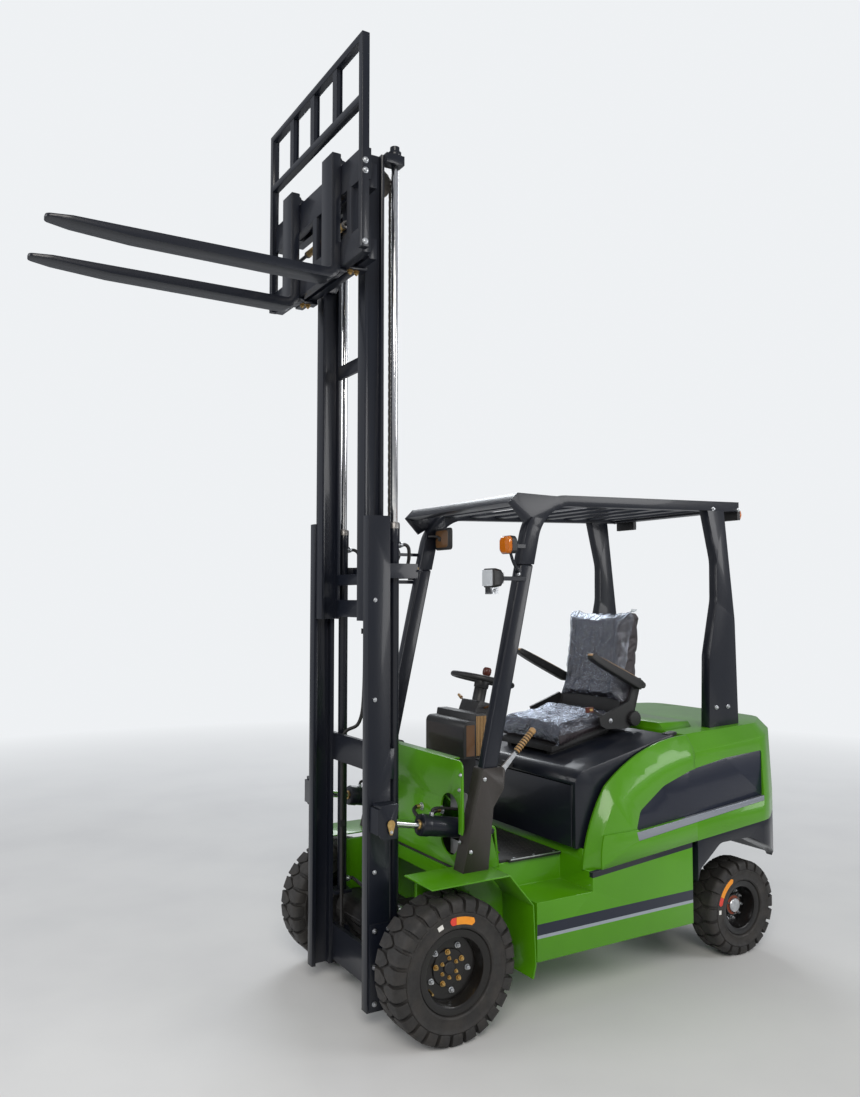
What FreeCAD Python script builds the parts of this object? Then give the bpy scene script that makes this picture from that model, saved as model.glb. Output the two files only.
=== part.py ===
import FreeCAD, Part
import collections
import math
import os

# Electric counterbalance forklift with its two-stage mast raised, in millimetres.
# While a piece is made, x counts forwards from the front axle, y counts to the left from the middle plane
# and z counts up from the floor. Each finished piece is then moved along x by AXLE_X, so that the middle
# of the overall length is at x = 0.

# Overall reach
WHEELBASE = 1666
FORK_TIP = 1480             # from the front axle to the tips of the forks
REAR_OVERHANG = 384         # from the rear axle back to the counterweight's rearmost face
REAR_END = WHEELBASE + REAR_OVERHANG
AXLE_X = (REAR_END - FORK_TIP) / 2
HALF_WIDTH = 572            # from the middle plane to the outside of the body

# Clearances
SEAT_GAP = 0.3              # between faces that rest on each other
PIN_GAP = 0.1               # all round a hinge pin
RUN_GAP = 5                 # between pieces that move past each other

# Wheels and axles
FRONT_RADIUS = 277
FRONT_TYRE_WIDTH = 180
FRONT_OUTSIDE = 566         # from the middle plane to the tyre's outer face
FRONT_RIM_RADIUS = 136
FRONT_FLANGE_RADIUS = 160
FRONT_DISH = 72             # how deep the wheel disc lies inside the tyre's outer face
FRONT_HUB = (72, 6)         # the radius of the hub, and how far it stands out of the disc
FRONT_CAP = (24, 14)        # the same of the cap in its middle
FRONT_SHAFT_RADIUS = 30
FRONT_LUGS = 26             # in each of the two rows of the tread
FRONT_LUG_DEPTH = 13
REAR_RADIUS = 222
REAR_TYRE_WIDTH = 148
REAR_OUTSIDE = 502
REAR_RIM_RADIUS = 104
REAR_FLANGE_RADIUS = 126
REAR_DISH = 38
REAR_HUB = (50, 24)
REAR_CAP = (33, 38)
REAR_SHAFT_RADIUS = 24
REAR_LUGS = 20
REAR_LUG_DEPTH = 11
LUG_FILL = 0.78             # how much of the pitch a lug takes up
LUG_POINT = 22              # the pointed inner end of a lug
LUG_OVERLAP = 9             # and how far it reaches past the middle of the tread
FLANGE_THICKNESS = 8
RIM_WALL = 10
DISC_THICKNESS = 12
RIM_INSET = 14              # from the tyre's side face in to the rim's flange
SHOULDER = 16               # cut from the outer corner of a lug
KINGPIN_Y = 280
KINGPIN_RADIUS = 18
AXLE_TUBE_RADIUS = 85
BRAKE_DRUM_RADIUS = 112
GEARCASE_RADIUS = 145
STEER_BEAM_Z = (150, 300)
STEER_BEAM_HALF_DEPTH = 75
YOKE_THICKNESS = 25

# Chassis, step and floor
SIDE_BOTTOM = 245
STEP_Z = 480
STEP_BACK = -667
SIDE_FRONT = -374
SIDE_BACK = -WHEELBASE + 410
RAIL_Y = 352                # inner face of the side boxes
FLOOR_Z = 588
MAT_THICKNESS = 12
FLOOR_FRONT = -128
PLATE = 10
FLOOR_FRAME = 60            # the frame under the floor plate
FRAME_BAR = 40
FENDER_PLATE = 6
FENDER_TOP = 610
BAY_BACK = -WHEELBASE + 376
BATTERY_Z = (255.3, 900)

# Cowl
COWL_X = -120
COWL_TOP = 1045
COWL_HALF_WIDTH = 430
SLOT_Y = 325
SLOT_WIDTH = 136
SLOT_Z = (652, 902)
TOE_BACK = -415
TOE_TOP = 900
TOE_HALF_WIDTH = 255
CONSOLE_X = (-411, -289)
CONSOLE_Z = (1000, 1163)
CONSOLE_HALF_WIDTH = 164
CONSOLE_STEP = (60, 29)     # the raised back part of the console: its length and its height
TOWER_HALF_WIDTH = 80
SHROUD_HALF_WIDTH = 70
COLUMN_RADIUS = 30
STEERING_CENTRE = (-499, 1328)
STEERING_RADIUS = 152
STEERING_GRIP = 13
COLUMN_LEAN = 14            # degrees from upright
LEVER_Y = (-96, -124, -152)
BRAKE_Y = 330
BRAKE_PIVOT = (-375, 972)
BRAKE_GRIP = ((-449, 1043), (-542, 1130))
BRAKE_RIBS = 7

# Counterweight and covers
ARCH_TOP = 578
WHEELHOUSE_RADIUS = 319     # swept round each kingpin as its wheel steers
BELT_FRONT_Z = 556          # the line between the lower body and the covers rises towards the rear
BELT_BACK_Z = 668
WEIGHT_WAIST = 700          # heights at the front edge; each rises to the rear
WEIGHT_CREASE = 1000
WEIGHT_TOP = 1076
WEIGHT_RISE = 0.085         # the slope of the waist and the crease
TOP_RISE = 0.04             # and of the top
COVER_THICKNESS = 66
DECK_THICKNESS = 34
TOW_PIN_RADIUS = 16
TOW_X = -REAR_END + 50
TOW_LUG_Z = (440, 600)
TOW_JAW_Z = (490, 570)
TOW_HOLE_TOP = 610
TOW_HALF_WIDTH = 70
INSET_DEPTH = 26            # from the widest point of the body in to the bed of the side panels

# Overhead guard
GUARD_Y = 451               # outer face of the legs and the roof's side beams
TUBE_Y = 52
PILLAR_DEPTH = 70
PILLAR_LEAN = 12.8          # degrees from upright
PILLAR_FOOT_X = -108        # front edge of the pillar at the foot
PILLAR_FOOT_Z = 612
BOOT_TOP = 1014
BOOT_WALL = 12
ROOF_Z = 2152               # top of the roof at its front
ROOF_RISE = 36              # and how much higher it is at the rear
ROOF_BEAM = 46
ROOF_BEND = 230
ROOF_BACK = -WHEELBASE - 78
ROOF_FRONT = -378
SLATS = 8
SLAT_DEPTH = 12

# Hood and seat
HOOD_FRONT = -642
HOOD_BACK = BAY_BACK + 50
HOOD_HALF_WIDTH = HALF_WIDTH - COVER_THICKNESS - 14
HOOD_FRONT_Z = 955
HOOD_BACK_Z = 1085
HOOD_BOTTOM = 640
HOOD_WALL = 22
HOOD_REAR_FOOT = 980        # the lower edge of the hood at its back
HOOD_LIP_Z = 907            # the lower edge of its front, over the front panel
HOOD_HINGE = (HOOD_BACK + 12, HOOD_BACK_Z - 19)
HOOD_BARREL_RADIUS = 9
HOOD_BARREL_Y = (290, 350)
SEAT_HALF_WIDTH = 250
SEAT_FRONT = HOOD_FRONT - 106
SEAT_BACK = HOOD_BACK + 120
SEAT_PAN = 44               # from the hood up to the cushion

# Mast
MAST_Y = 291                # outer face of the outer channels
MAST_X = (150, 250)
MAST_Z = (79, 2044)
OUTER_WEB = 16
OUTER_FLANGE = 18
OUTER_FLANGE_REACH = 46
INNER_X = (155, 245)
INNER_Y = (176, 240)
INNER_WEB = (202, 216)
INNER_FLANGE = 14
INNER_Z = (1615, 3580)
ROLLER_GAP = 0.5
PIVOT = (105, 210)
PIVOT_PIN_RADIUS = 18
PIVOT_EAR_RADIUS = 34
LUG_Y = (238, 262)
EAR_THICKNESS = 12
LIFT_X = 107
LIFT_Y = 243
LIFT_ROD_RADIUS = 15
LIFT_BARREL_RADIUS = 21
LIFT_BARREL_Z = (400, 2000)
SHEAVE = (145, 3490)
SHEAVE_RADIUS = 62
SHEAVE_Y = (135, 155)
CHAIN_OFFSET = 71           # from the chain wheel's axis to each run of the chain
YOKE_Z = (1790, 1850)

# Tilt cylinders
TILT_Y = 330
TILT_PIN = (186, 820)       # on the mast
TILT_ANCHOR = (-300, 730)   # on the chassis
TILT_BARREL_RADIUS = 42
TILT_ROD_RADIUS = 16
TILT_EYE_RADIUS = 33
TILT_EYE_WIDTH = 30
TILT_PIN_RADIUS = 13
TILT_ANCHOR_PIN = 12
TILT_EYE_SLACK = 3.5        # the rod's eye may drift this far round its pin
TILT_BARREL_LENGTH = 340

# Carriage, side shifter and forks
CARRIAGE_X = (262, 298)
CARRIAGE_HALF_WIDTH = FRONT_OUTSIDE - FRONT_TYRE_WIDTH - 8   # between the front tyres when lowered
CARRIAGE_PLATE_Y = (157, 171)
LOWER_HOOK_LIP = 24         # how far the shifter's lower hooks reach up behind the carriage's lower bar
CARRIAGE_ROLLER_Z = (3130, 3385)
CARRIAGE_ANCHOR_Z = (3120, 3170)
SHIFTER_X = (330, 368)
SHIFTER_HALF_WIDTH = 460
UPPER_BAR_Z = (3345, 3470)
LOWER_BAR_Z = (3052, 3155)
CARRIAGE_LOW_BAR_Z = (LOWER_BAR_Z[0] + 12, LOWER_BAR_Z[1] - 8)
CARRIAGE_PLATE_Z = (CARRIAGE_LOW_BAR_Z[0] + LOWER_HOOK_LIP + RUN_GAP, 3418)
SHIFT_CYLINDER = (314, 3262)
SHIFT_BARREL_RADIUS = 15
SHIFT_ROD_RADIUS = 8
BACKREST_X = (353, 386)
BACKREST_BAR = 30
FORK_FACE = 409             # front face of the shanks
FORK_THICKNESS = 40
FORK_WIDTH = 100
FORK_INSIDE = 165
FORK_TOP = 3040
FORK_SHANK_TOP = 3520
FORK_TIP_THICKNESS = 12
HOOK_HEIGHT = 22
BACKREST_MIDDLE_Z = FORK_SHANK_TOP + 120
BACKREST_Z = (3060, FORK_SHANK_TOP + 395)


def vec(x, y, z):
    return FreeCAD.Vector(x, y, z)


def block(x, y, z):
    """A box from its ranges along x, y and z."""
    low = vec(min(x), min(y), min(z))
    return Part.makeBox(abs(x[1] - x[0]), abs(y[1] - y[0]), abs(z[1] - z[0]), low)


def bar_y(place, radius, y):
    """A round bar along y at place (x, z)."""
    start = vec(place[0], min(y), place[1])
    return Part.makeCylinder(radius, abs(y[1] - y[0]), start, vec(0, 1, 0))


def bar_z(place, radius, z):
    """A round bar along z at place (x, y)."""
    start = vec(place[0], place[1], min(z))
    return Part.makeCylinder(radius, abs(z[1] - z[0]), start, vec(0, 0, 1))


def bar_between(start, end, radius):
    """A round bar between two points."""
    along = vec(*end) - vec(*start)
    return Part.makeCylinder(radius, along.Length, vec(*start), along)


def rounded_wire(points, radii):
    """A closed outline through points, with an arc of its radius at each corner."""
    count = len(points)
    firsts = []
    lasts = []
    middles = []
    for i in range(count):
        here = points[i]
        back = (points[i - 1] - here).normalize()
        ahead = (points[(i + 1) % count] - here).normalize()
        if radii[i] == 0:
            firsts.append(here)
            lasts.append(here)
            middles.append(None)
            continue
        half = back.getAngle(ahead) / 2
        middle_way = (back + ahead).normalize()
        centre = here + middle_way * (radii[i] / math.sin(half))
        firsts.append(here + back * (radii[i] / math.tan(half)))
        lasts.append(here + ahead * (radii[i] / math.tan(half)))
        middles.append(centre - middle_way * radii[i])
    edges = []
    for i in range(count):
        if middles[i] is not None:
            edges.append(Part.Arc(firsts[i], middles[i], lasts[i]).toShape())
        run = firsts[(i + 1) % count] - lasts[i]
        if run.Length > 0.001:
            edges.append(Part.LineSegment(lasts[i], firsts[(i + 1) % count]).toShape())
    return Part.Wire(edges)


def prism(corners, place, way):
    """A flat outline pushed along way. A corner is (a, b) or (a, b, radius); place puts it in space."""
    points = [place(c[0], c[1]) for c in corners]
    radii = [c[2] if len(c) > 2 else 0 for c in corners]
    return Part.Face(rounded_wire(points, radii)).extrude(way)


def prism_y(corners, y):
    """An outline of (x, z) corners pushed along y."""
    return prism(corners, lambda x, z: vec(x, min(y), z), vec(0, abs(y[1] - y[0]), 0))


def prism_x(corners, x):
    """An outline of (y, z) corners pushed along x."""
    return prism(corners, lambda y, z: vec(min(x), y, z), vec(abs(x[1] - x[0]), 0, 0))


def prism_z(corners, z):
    """An outline of (x, y) corners pushed along z."""
    return prism(corners, lambda x, y: vec(x, y, min(z)), vec(0, 0, abs(z[1] - z[0])))


def turned_y(profile, place):
    """A profile of (radius, y) turned about the line along y through place (x, z)."""
    points = [vec(place[0], y, place[1] + radius) for radius, y in profile]
    face = Part.Face(Part.makePolygon(points + points[:1]))
    return face.revolve(vec(place[0], 0, place[1]), vec(0, 1, 0), 360)


def mirrored(shape):
    return shape.mirror(vec(0, 0, 0), vec(0, 1, 0))


def pair(shape):
    """The shape and its mirror image, as two solids of one piece."""
    return Part.makeCompound([shape, mirrored(shape)])


def fuse(first, *others):
    return first.fuse(list(others)).removeSplitter()


# Wheels

# x is the axle's, outside and inner faces are y, dish and lug_depth are depths, and hub and cap are
# (radius, how far out of the disc)
Wheel = collections.namedtuple(
    "Wheel", "x radius width outside seat flange dish hub cap shaft lugs lug_depth")
WHEELS = {
    "front": Wheel(
        0, FRONT_RADIUS, FRONT_TYRE_WIDTH, FRONT_OUTSIDE, FRONT_RIM_RADIUS, FRONT_FLANGE_RADIUS,
        FRONT_DISH, FRONT_HUB, FRONT_CAP, FRONT_SHAFT_RADIUS, FRONT_LUGS, FRONT_LUG_DEPTH),
    "rear": Wheel(
        -WHEELBASE, REAR_RADIUS, REAR_TYRE_WIDTH, REAR_OUTSIDE, REAR_RIM_RADIUS, REAR_FLANGE_RADIUS,
        REAR_DISH, REAR_HUB, REAR_CAP, REAR_SHAFT_RADIUS, REAR_LUGS, REAR_LUG_DEPTH),
}


def facets(place, radius, count, y):
    """A prism along y with count flat sides, each radius away from the line through place (x, z)."""
    corner = radius / math.cos(math.pi / count)
    turns = [math.pi * (2 * i + 1) / count for i in range(count)]
    return prism_y([(place[0] + corner * math.sin(a), place[1] + corner * math.cos(a)) for a in turns], y)


def lug_half(w):
    """Half the length of a lug round the tyre, and the angle that it takes up at the axle, in radians."""
    half = LUG_FILL * math.pi * w.radius / w.lugs
    return half, math.asin(half / w.radius)


def lug(w, row, turn):
    """One lug, bevelled at the shoulder and pointed inwards; its corners lie on the tyre's radius."""
    half, angle = lug_half(w)
    top = w.radius * math.cos(angle)
    middle = w.outside - w.width / 2
    foot = w.radius - 2 * w.lug_depth
    end = middle - LUG_OVERLAP
    side_view = [(w.outside, foot), (w.outside, top - SHOULDER), (w.outside - SHOULDER, top), (end - 1, top),
                 (end - 1, foot)]
    plan = [(-half, w.outside + 1), (half, w.outside + 1), (half, end + LUG_POINT), (0, end),
            (-half, end + LUG_POINT)]
    body = prism_x(side_view, (-half, half)).common(prism_z(plan, (0, w.radius)))
    if row == 1:
        body = body.mirror(vec(0, middle, 0), vec(0, 1, 0))
    body.rotate(vec(0, 0, 0), vec(0, 1, 0), turn)
    body.translate(vec(w.x, 0, w.radius))
    return body


def tyre(wheel):
    """The left tyre: a ring on the rim with two staggered rows of lugs, standing on the edge of a lug."""
    w = WHEELS[wheel]
    place = (w.x, w.radius)
    inside = w.outside - w.width
    bead = RIM_INSET + FLANGE_THICKNESS + SEAT_GAP
    ring = facets(place, w.radius - w.lug_depth, w.lugs, (inside, w.outside))
    ring = ring.cut(facets(place, w.seat + SEAT_GAP, w.lugs, (inside - 1, w.outside + 1)))
    for y in ((inside - 1, inside + bead), (w.outside - bead, w.outside + 1)):
        ring = ring.cut(facets(place, w.flange + SEAT_GAP, w.lugs, y))
    lugs = [lug(w, row, 360 * (i + row / 2) / w.lugs) for row in (0, 1) for i in range(w.lugs)]
    body = fuse(ring, *lugs)
    body.rotate(vec(w.x, 0, w.radius), vec(0, 1, 0), math.degrees(lug_half(w)[1]))
    return body


def rim(wheel):
    """The left rim with its flanges, dished disc, hub and cap, bored for the shaft."""
    w = WHEELS[wheel]
    inside = w.outside - w.width
    low = inside + RIM_INSET
    high = w.outside - RIM_INSET
    disc = w.outside - w.dish
    place = (w.x, w.radius)
    profile = [
        (w.seat - RIM_WALL, low), (w.flange, low), (w.flange, low + FLANGE_THICKNESS),
        (w.seat, low + FLANGE_THICKNESS), (w.seat, high - FLANGE_THICKNESS),
        (w.flange, high - FLANGE_THICKNESS), (w.flange, high), (w.seat - RIM_WALL, high),
    ]
    ring = turned_y(profile, place)
    plate = bar_y(place, w.seat - RIM_WALL / 2, (disc - DISC_THICKNESS, disc))
    hub = bar_y(place, w.hub[0], (inside, disc + w.hub[1]))
    cap = bar_y(place, w.cap[0], (disc, disc + w.cap[1]))
    bore = bar_y(place, w.shaft + PIN_GAP, (inside - 1, disc))
    return fuse(ring, plate, hub, cap).cut(bore)


def knuckle():
    """The left steering knuckle: a body on the kingpin with the spindle of the rear wheel."""
    x = -WHEELBASE
    low = STEER_BEAM_Z[0] + YOKE_THICKNESS + SEAT_GAP
    high = STEER_BEAM_Z[1] - YOKE_THICKNESS - SEAT_GAP
    inside = REAR_OUTSIDE - REAR_TYRE_WIDTH
    body = bar_z((x, KINGPIN_Y), KINGPIN_RADIUS * 2, (low, high))
    pin = bar_z((x, KINGPIN_Y), KINGPIN_RADIUS, (STEER_BEAM_Z[0], STEER_BEAM_Z[1]))
    flange = bar_y((x, REAR_RADIUS), REAR_HUB[0] - 6, (KINGPIN_Y, inside - SEAT_GAP))
    disc = REAR_OUTSIDE - REAR_DISH - DISC_THICKNESS
    spindle = bar_y((x, REAR_RADIUS), REAR_SHAFT_RADIUS, (KINGPIN_Y, disc))
    return fuse(body, pin, flange, spindle)


def steer_axle():
    """The rear beam with a yoke at each end, hung from the counterweight by a saddle."""
    x = -WHEELBASE
    low, high = STEER_BEAM_Z
    half = STEER_BEAM_HALF_DEPTH
    arm = KINGPIN_Y - KINGPIN_RADIUS * 2 - RUN_GAP
    beam = block((x - half, x + half), (-arm, arm), (low, high))
    saddle = block((x - 100, x + 100), (-90, 90), (high, ARCH_TOP))
    yokes = []
    for z in (low, high - YOKE_THICKNESS):
        reach = block((x - 50, x + 50), (arm - 10, KINGPIN_Y), (z, z + YOKE_THICKNESS))
        end = bar_z((x, KINGPIN_Y), 50, (z, z + YOKE_THICKNESS))
        hole = bar_z((x, KINGPIN_Y), KINGPIN_RADIUS + PIN_GAP, (z - 1, z + YOKE_THICKNESS + 1))
        yokes.append(fuse(reach, end).cut(hole))
    return fuse(beam, saddle, *yokes, *[mirrored(yoke) for yoke in yokes])


def drive_axle():
    """The front axle: tube, gear case, motor, brake drums, stub shafts and the lugs that carry the mast."""
    centre = (0, FRONT_RADIUS)
    inside = FRONT_OUTSIDE - FRONT_TYRE_WIDTH
    tube = bar_y(centre, AXLE_TUBE_RADIUS, (-inside + 10, inside - 10))
    case = bar_y(centre, GEARCASE_RADIUS, (-95, 75)).common(
        block((-200, AXLE_TUBE_RADIUS), (-200, 200), (0, 2 * FRONT_RADIUS)))
    motor = bar_between((-60, -20, FRONT_RADIUS), (-360, -20, FRONT_RADIUS), 100)
    drum = bar_y(centre, BRAKE_DRUM_RADIUS, (RAIL_Y + SEAT_GAP, inside - 1))
    shaft = bar_y(centre, FRONT_SHAFT_RADIUS, (inside - 40, FRONT_OUTSIDE - FRONT_DISH - DISC_THICKNESS))
    lug_arm = block((20, PIVOT[0]), LUG_Y, (PIVOT[1] - 30, PIVOT[1] + PIVOT_EAR_RADIUS))
    lug_end = bar_y(PIVOT, PIVOT_EAR_RADIUS, LUG_Y)
    lug_hole = bar_y(PIVOT, PIVOT_PIN_RADIUS + PIN_GAP, (LUG_Y[0] - 1, LUG_Y[1] + 1))
    lug = fuse(lug_arm, lug_end).cut(lug_hole)
    return fuse(tube, case, motor, drum, mirrored(drum), shaft, mirrored(shaft), lug, mirrored(lug))


# Chassis

def belt_height(x):
    """The height of the belt line at x: level at the step, then rising to the rear."""
    run = max(0, STEP_BACK - x) / (REAR_END + STEP_BACK)
    return BELT_FRONT_Z + (BELT_BACK_Z - BELT_FRONT_Z) * run


def side_box():
    """The left side box with the step let into its front end; its top follows the belt line."""
    outline = [(SIDE_BACK, SIDE_BOTTOM), (SIDE_FRONT, SIDE_BOTTOM), (SIDE_FRONT, STEP_Z),
               (STEP_BACK, STEP_Z), (STEP_BACK, belt_height(STEP_BACK)),
               (SIDE_BACK, belt_height(SIDE_BACK))]
    return prism_y(outline, (RAIL_Y, HALF_WIDTH))


def chassis():
    """Side boxes, front rails to the axle, belly plate, floor plate and the walls of the battery bay."""
    rail_y = (RAIL_Y - 20, RAIL_Y)
    box = side_box()
    rail = prism_y([(SIDE_FRONT, SIDE_BOTTOM), (-140, SIDE_BOTTOM), (-AXLE_TUBE_RADIUS, 215), (60, 382),
                    (60, FLOOR_Z), (STEP_BACK, FLOOR_Z), (STEP_BACK, SIDE_BOTTOM)], rail_y)
    bore = bar_y((0, FRONT_RADIUS), AXLE_TUBE_RADIUS + SEAT_GAP, (rail_y[0] - 1, rail_y[1] + 1))
    rail = rail.cut(bore)
    belly = block((BAY_BACK, STEP_BACK), (-RAIL_Y, RAIL_Y), (SIDE_BOTTOM, SIDE_BOTTOM + PLATE))
    half = HALF_WIDTH - COVER_THICKNESS
    bay_front = block((STEP_BACK - PLATE, STEP_BACK), (-half, half), (SIDE_BOTTOM, HOOD_BOTTOM - SEAT_GAP))
    bay_back = block((BAY_BACK, BAY_BACK + PLATE), (-RAIL_Y, RAIL_Y), (SIDE_BOTTOM, BATTERY_Z[1] + 40))
    floor = block((STEP_BACK, FLOOR_FRONT), (-RAIL_Y, RAIL_Y), (FLOOR_Z - PLATE, FLOOR_Z))
    half = RAIL_Y - 20
    foot = block((STEP_BACK, FLOOR_FRONT), (-half, half), (FLOOR_Z - FLOOR_FRAME, FLOOR_Z - PLATE))
    foot = foot.cut(block((STEP_BACK + FRAME_BAR, FLOOR_FRONT - FRAME_BAR),
                          (-half + FRAME_BAR, half - FRAME_BAR), (0, FLOOR_Z - PLATE)))
    anchors = []
    for y in (TILT_Y - 28, TILT_Y + 16):
        anchor = prism_y([(TILT_ANCHOR[0] - 40, FLOOR_Z - PLATE), (TILT_ANCHOR[0] + 40, FLOOR_Z - PLATE),
                          (TILT_ANCHOR[0] + 22, TILT_ANCHOR[1] + 22, 20),
                          (TILT_ANCHOR[0] - 22, TILT_ANCHOR[1] + 22, 20)], (y, y + 12))
        anchor = anchor.cut(bar_y(TILT_ANCHOR, TILT_ANCHOR_PIN + PIN_GAP, (y - 1, y + 13)))
        anchors.append(anchor)
    return fuse(box, mirrored(box), rail, mirrored(rail), belly, bay_front, bay_back, floor, foot,
                *anchors, *[mirrored(a) for a in anchors])


def anchor_room():
    """Room round the left anchor of the tilt cylinder."""
    x, z = TILT_ANCHOR
    return block((x - 43, x + 43), (TILT_Y - 31, TILT_Y + 31), (0, 2 * z))


def fender():
    """The left front mudguard: a folded plate over the back of the wheel."""
    low = FENDER_TOP - FENDER_PLATE
    outside = [(118, FENDER_TOP), (-244, FENDER_TOP), (-361, 474), (-372, 240), (-358, 183)]
    inside = [(118, low), (-241, low), (-355, 472), (-366, 240), (-352, 184)]
    plate = prism_y(outside + inside[::-1], (RAIL_Y + SEAT_GAP, HALF_WIDTH - 2))
    return plate.cut(anchor_room())


def floor_mat():
    narrow = RAIL_Y - 2
    wide = RAIL_Y + 16
    mat = prism_z([(STEP_BACK + 4, -wide), (-385, -wide), (-385, -narrow), (FLOOR_FRONT - 2, -narrow),
                   (FLOOR_FRONT - 2, narrow), (-385, narrow), (-385, wide), (STEP_BACK + 4, wide)],
                  (FLOOR_Z + SEAT_GAP, FLOOR_Z + MAT_THICKNESS))
    return mat.cut(anchor_room()).cut(mirrored(anchor_room()))


def toe_top(x):
    """The height of the toe board's upper face at x."""
    low = FLOOR_Z + MAT_THICKNESS + SEAT_GAP
    return low + (TOE_TOP - low) * (x - TOE_BACK) / (COWL_X - TOE_BACK)


def cowl():
    """The front panel with a slot for each tilt cylinder, and the toe board behind it."""
    corner = 30
    panel = prism_x([(-COWL_HALF_WIDTH, FENDER_TOP), (COWL_HALF_WIDTH, FENDER_TOP),
                     (COWL_HALF_WIDTH - 10, COWL_TOP, corner), (-COWL_HALF_WIDTH + 10, COWL_TOP, corner)],
                    (COWL_X, COWL_X + 8))
    half = SLOT_WIDTH / 2
    slot = prism_x([(SLOT_Y - half, SLOT_Z[0], half - 1), (SLOT_Y + half, SLOT_Z[0], half - 1),
                    (SLOT_Y + half, SLOT_Z[1], half - 1), (SLOT_Y - half, SLOT_Z[1], half - 1)],
                   (COWL_X - 2, COWL_X + 12))
    low = FLOOR_Z + MAT_THICKNESS + SEAT_GAP
    high = toe_top(COWL_X)
    toe = prism_y([(COWL_X, high), (COWL_X, high - 9), (TOE_BACK + 9, low), (TOE_BACK, low)],
                  (-TOE_HALF_WIDTH, TOE_HALF_WIDTH))
    flange = block((COWL_X - 40, COWL_X), (-COWL_HALF_WIDTH + 100, COWL_HALF_WIDTH - 100),
                   (COWL_TOP - 8, COWL_TOP))
    notch = prism_y([(PILLAR_FOOT_X + 40, 0), (PILLAR_FOOT_X + 40, FENDER_TOP),
                     (COWL_X, FENDER_TOP + 165), (COWL_X - 40, FENDER_TOP + 165), (COWL_X - 40, 0)],
                    (GUARD_Y - TUBE_Y - 14, GUARD_Y + 40))
    return fuse(panel, flange, toe).cut(slot).cut(mirrored(slot)).cut(notch).cut(mirrored(notch))


def battery():
    """The battery and its carrier, one heavy block in the bay."""
    return block((BAY_BACK + PLATE + 15, STEP_BACK - PLATE - 15), (-RAIL_Y + 12, RAIL_Y - 12),
                 BATTERY_Z)


def weight_outline(inset=0):
    """The counterweight seen from above, as (x, y, radius) corners, all drawn in by inset."""
    side = HALF_WIDTH - inset
    back = -REAR_END + inset
    shrink = inset / 2
    near = [(270 - REAR_END, side, 150 - shrink), (90 - REAR_END, side - 124, 170 - shrink),
            (back, side - 362 + inset / 2, 100 - shrink)]
    return [(BAY_BACK, side)] + near + [(x, -y, r) for x, y, r in near[::-1]] + [(BAY_BACK, -side)]


def weight_wire(z, slope, inset):
    """The same outline on a plane that is at height z at the front and rises by slope to the rear."""
    corners = weight_outline(inset)
    points = [vec(x, y, z + slope * (BAY_BACK - x)) for x, y, *_ in corners]
    return rounded_wire(points, [c[2] if len(c) > 2 else 0 for c in corners])


def belt(z_extra):
    """Everything below the belt line, as a slab far wider than the body."""
    back = -REAR_END - 10
    return prism_y([(0, 0), (0, BELT_FRONT_Z + z_extra), (STEP_BACK, BELT_FRONT_Z + z_extra),
                    (back, belt_height(back) + z_extra), (back, 0)], (-700, 700))


def wheelhouse():
    """The room in which both rear wheels turn and steer, open to the sides and below."""
    x = -WHEELBASE
    reach = WHEELHOUSE_RADIUS
    front = [(SIDE_BACK, 0), (SIDE_BACK, 300), (x + 362, 476, 60), (x + 226, ARCH_TOP, 60)]
    inner = [(x - reach + 120, ARCH_TOP, 60), (x - reach, 400, 60), (x - reach, 0)]
    outer = [(x + 26, ARCH_TOP, 80), (x - reach + 20, 430, 60), (x - reach + 10, 0)]
    return prism_y(front + inner, (-400, 400)).fuse(prism_y(front + outer, (-700, 700)))


def weight_body():
    """The counterweight with no paint line: rounded in plan, bevelled on top, undercut at the rear."""
    levels = [(WEIGHT_WAIST, WEIGHT_RISE, 0), (WEIGHT_CREASE, WEIGHT_RISE, 18),
              (WEIGHT_TOP, TOP_RISE, 78)]
    wires = [weight_wire(*level) for level in levels]
    foot = Part.Face(wires[0]).extrude(vec(0, 0, -WEIGHT_WAIST))
    rings = [Part.makeLoft(wires[i:i + 2], True, True) for i in range(len(wires) - 1)]
    body = fuse(foot, *rings)
    side_view = prism_y([(BAY_BACK, SIDE_BOTTOM), (200 - REAR_END, SIDE_BOTTOM), (115 - REAR_END, 365),
                         (-REAR_END, 590), (-REAR_END, 1400), (BAY_BACK, 1400)], (-700, 700))
    return body.common(side_view).cut(wheelhouse())


def counterweight():
    """The upper, painted part of the counterweight, with the recess of the side panels."""
    return weight_body().cut(belt(0)).cut(side_inset_room()).cut(mirrored(side_inset_room()))


def counterweight_skirt():
    """The lower, dark part, with the clevis of the tow pin."""
    body = weight_body().common(belt(-SEAT_GAP))
    lug = block((-REAR_END + 10, -REAR_END + 160), (-TOW_HALF_WIDTH, TOW_HALF_WIDTH), TOW_LUG_Z)
    jaw = block((-REAR_END - 10, TOW_X + 45), (-TOW_HALF_WIDTH + 15, TOW_HALF_WIDTH - 15),
                TOW_JAW_Z)
    hole = bar_z((TOW_X, 0), TOW_PIN_RADIUS, (TOW_LUG_Z[0] - 10, TOW_HOLE_TOP))
    return fuse(body, lug).cut(jaw).cut(hole)


def bay(part):
    """The x of a place in the bay, from 0 at the step to 1 at the counterweight."""
    return STEP_BACK + part * (BAY_BACK - STEP_BACK)


def swept_wire(y, start, first, middle, second, end):
    """A closed outline at y: two arcs up and back from the lower front, then the rear and lower edges."""
    points = [vec(x, y, z) for x, z in (start, first, middle, second, end)]
    low = vec(BAY_BACK, y, start[1])
    return Part.Wire([Part.Arc(points[0], points[1], points[2]).toShape(),
                      Part.Arc(points[2], points[3], points[4]).toShape(),
                      Part.LineSegment(points[4], low).toShape(),
                      Part.LineSegment(low, points[0]).toShape()])


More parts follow.
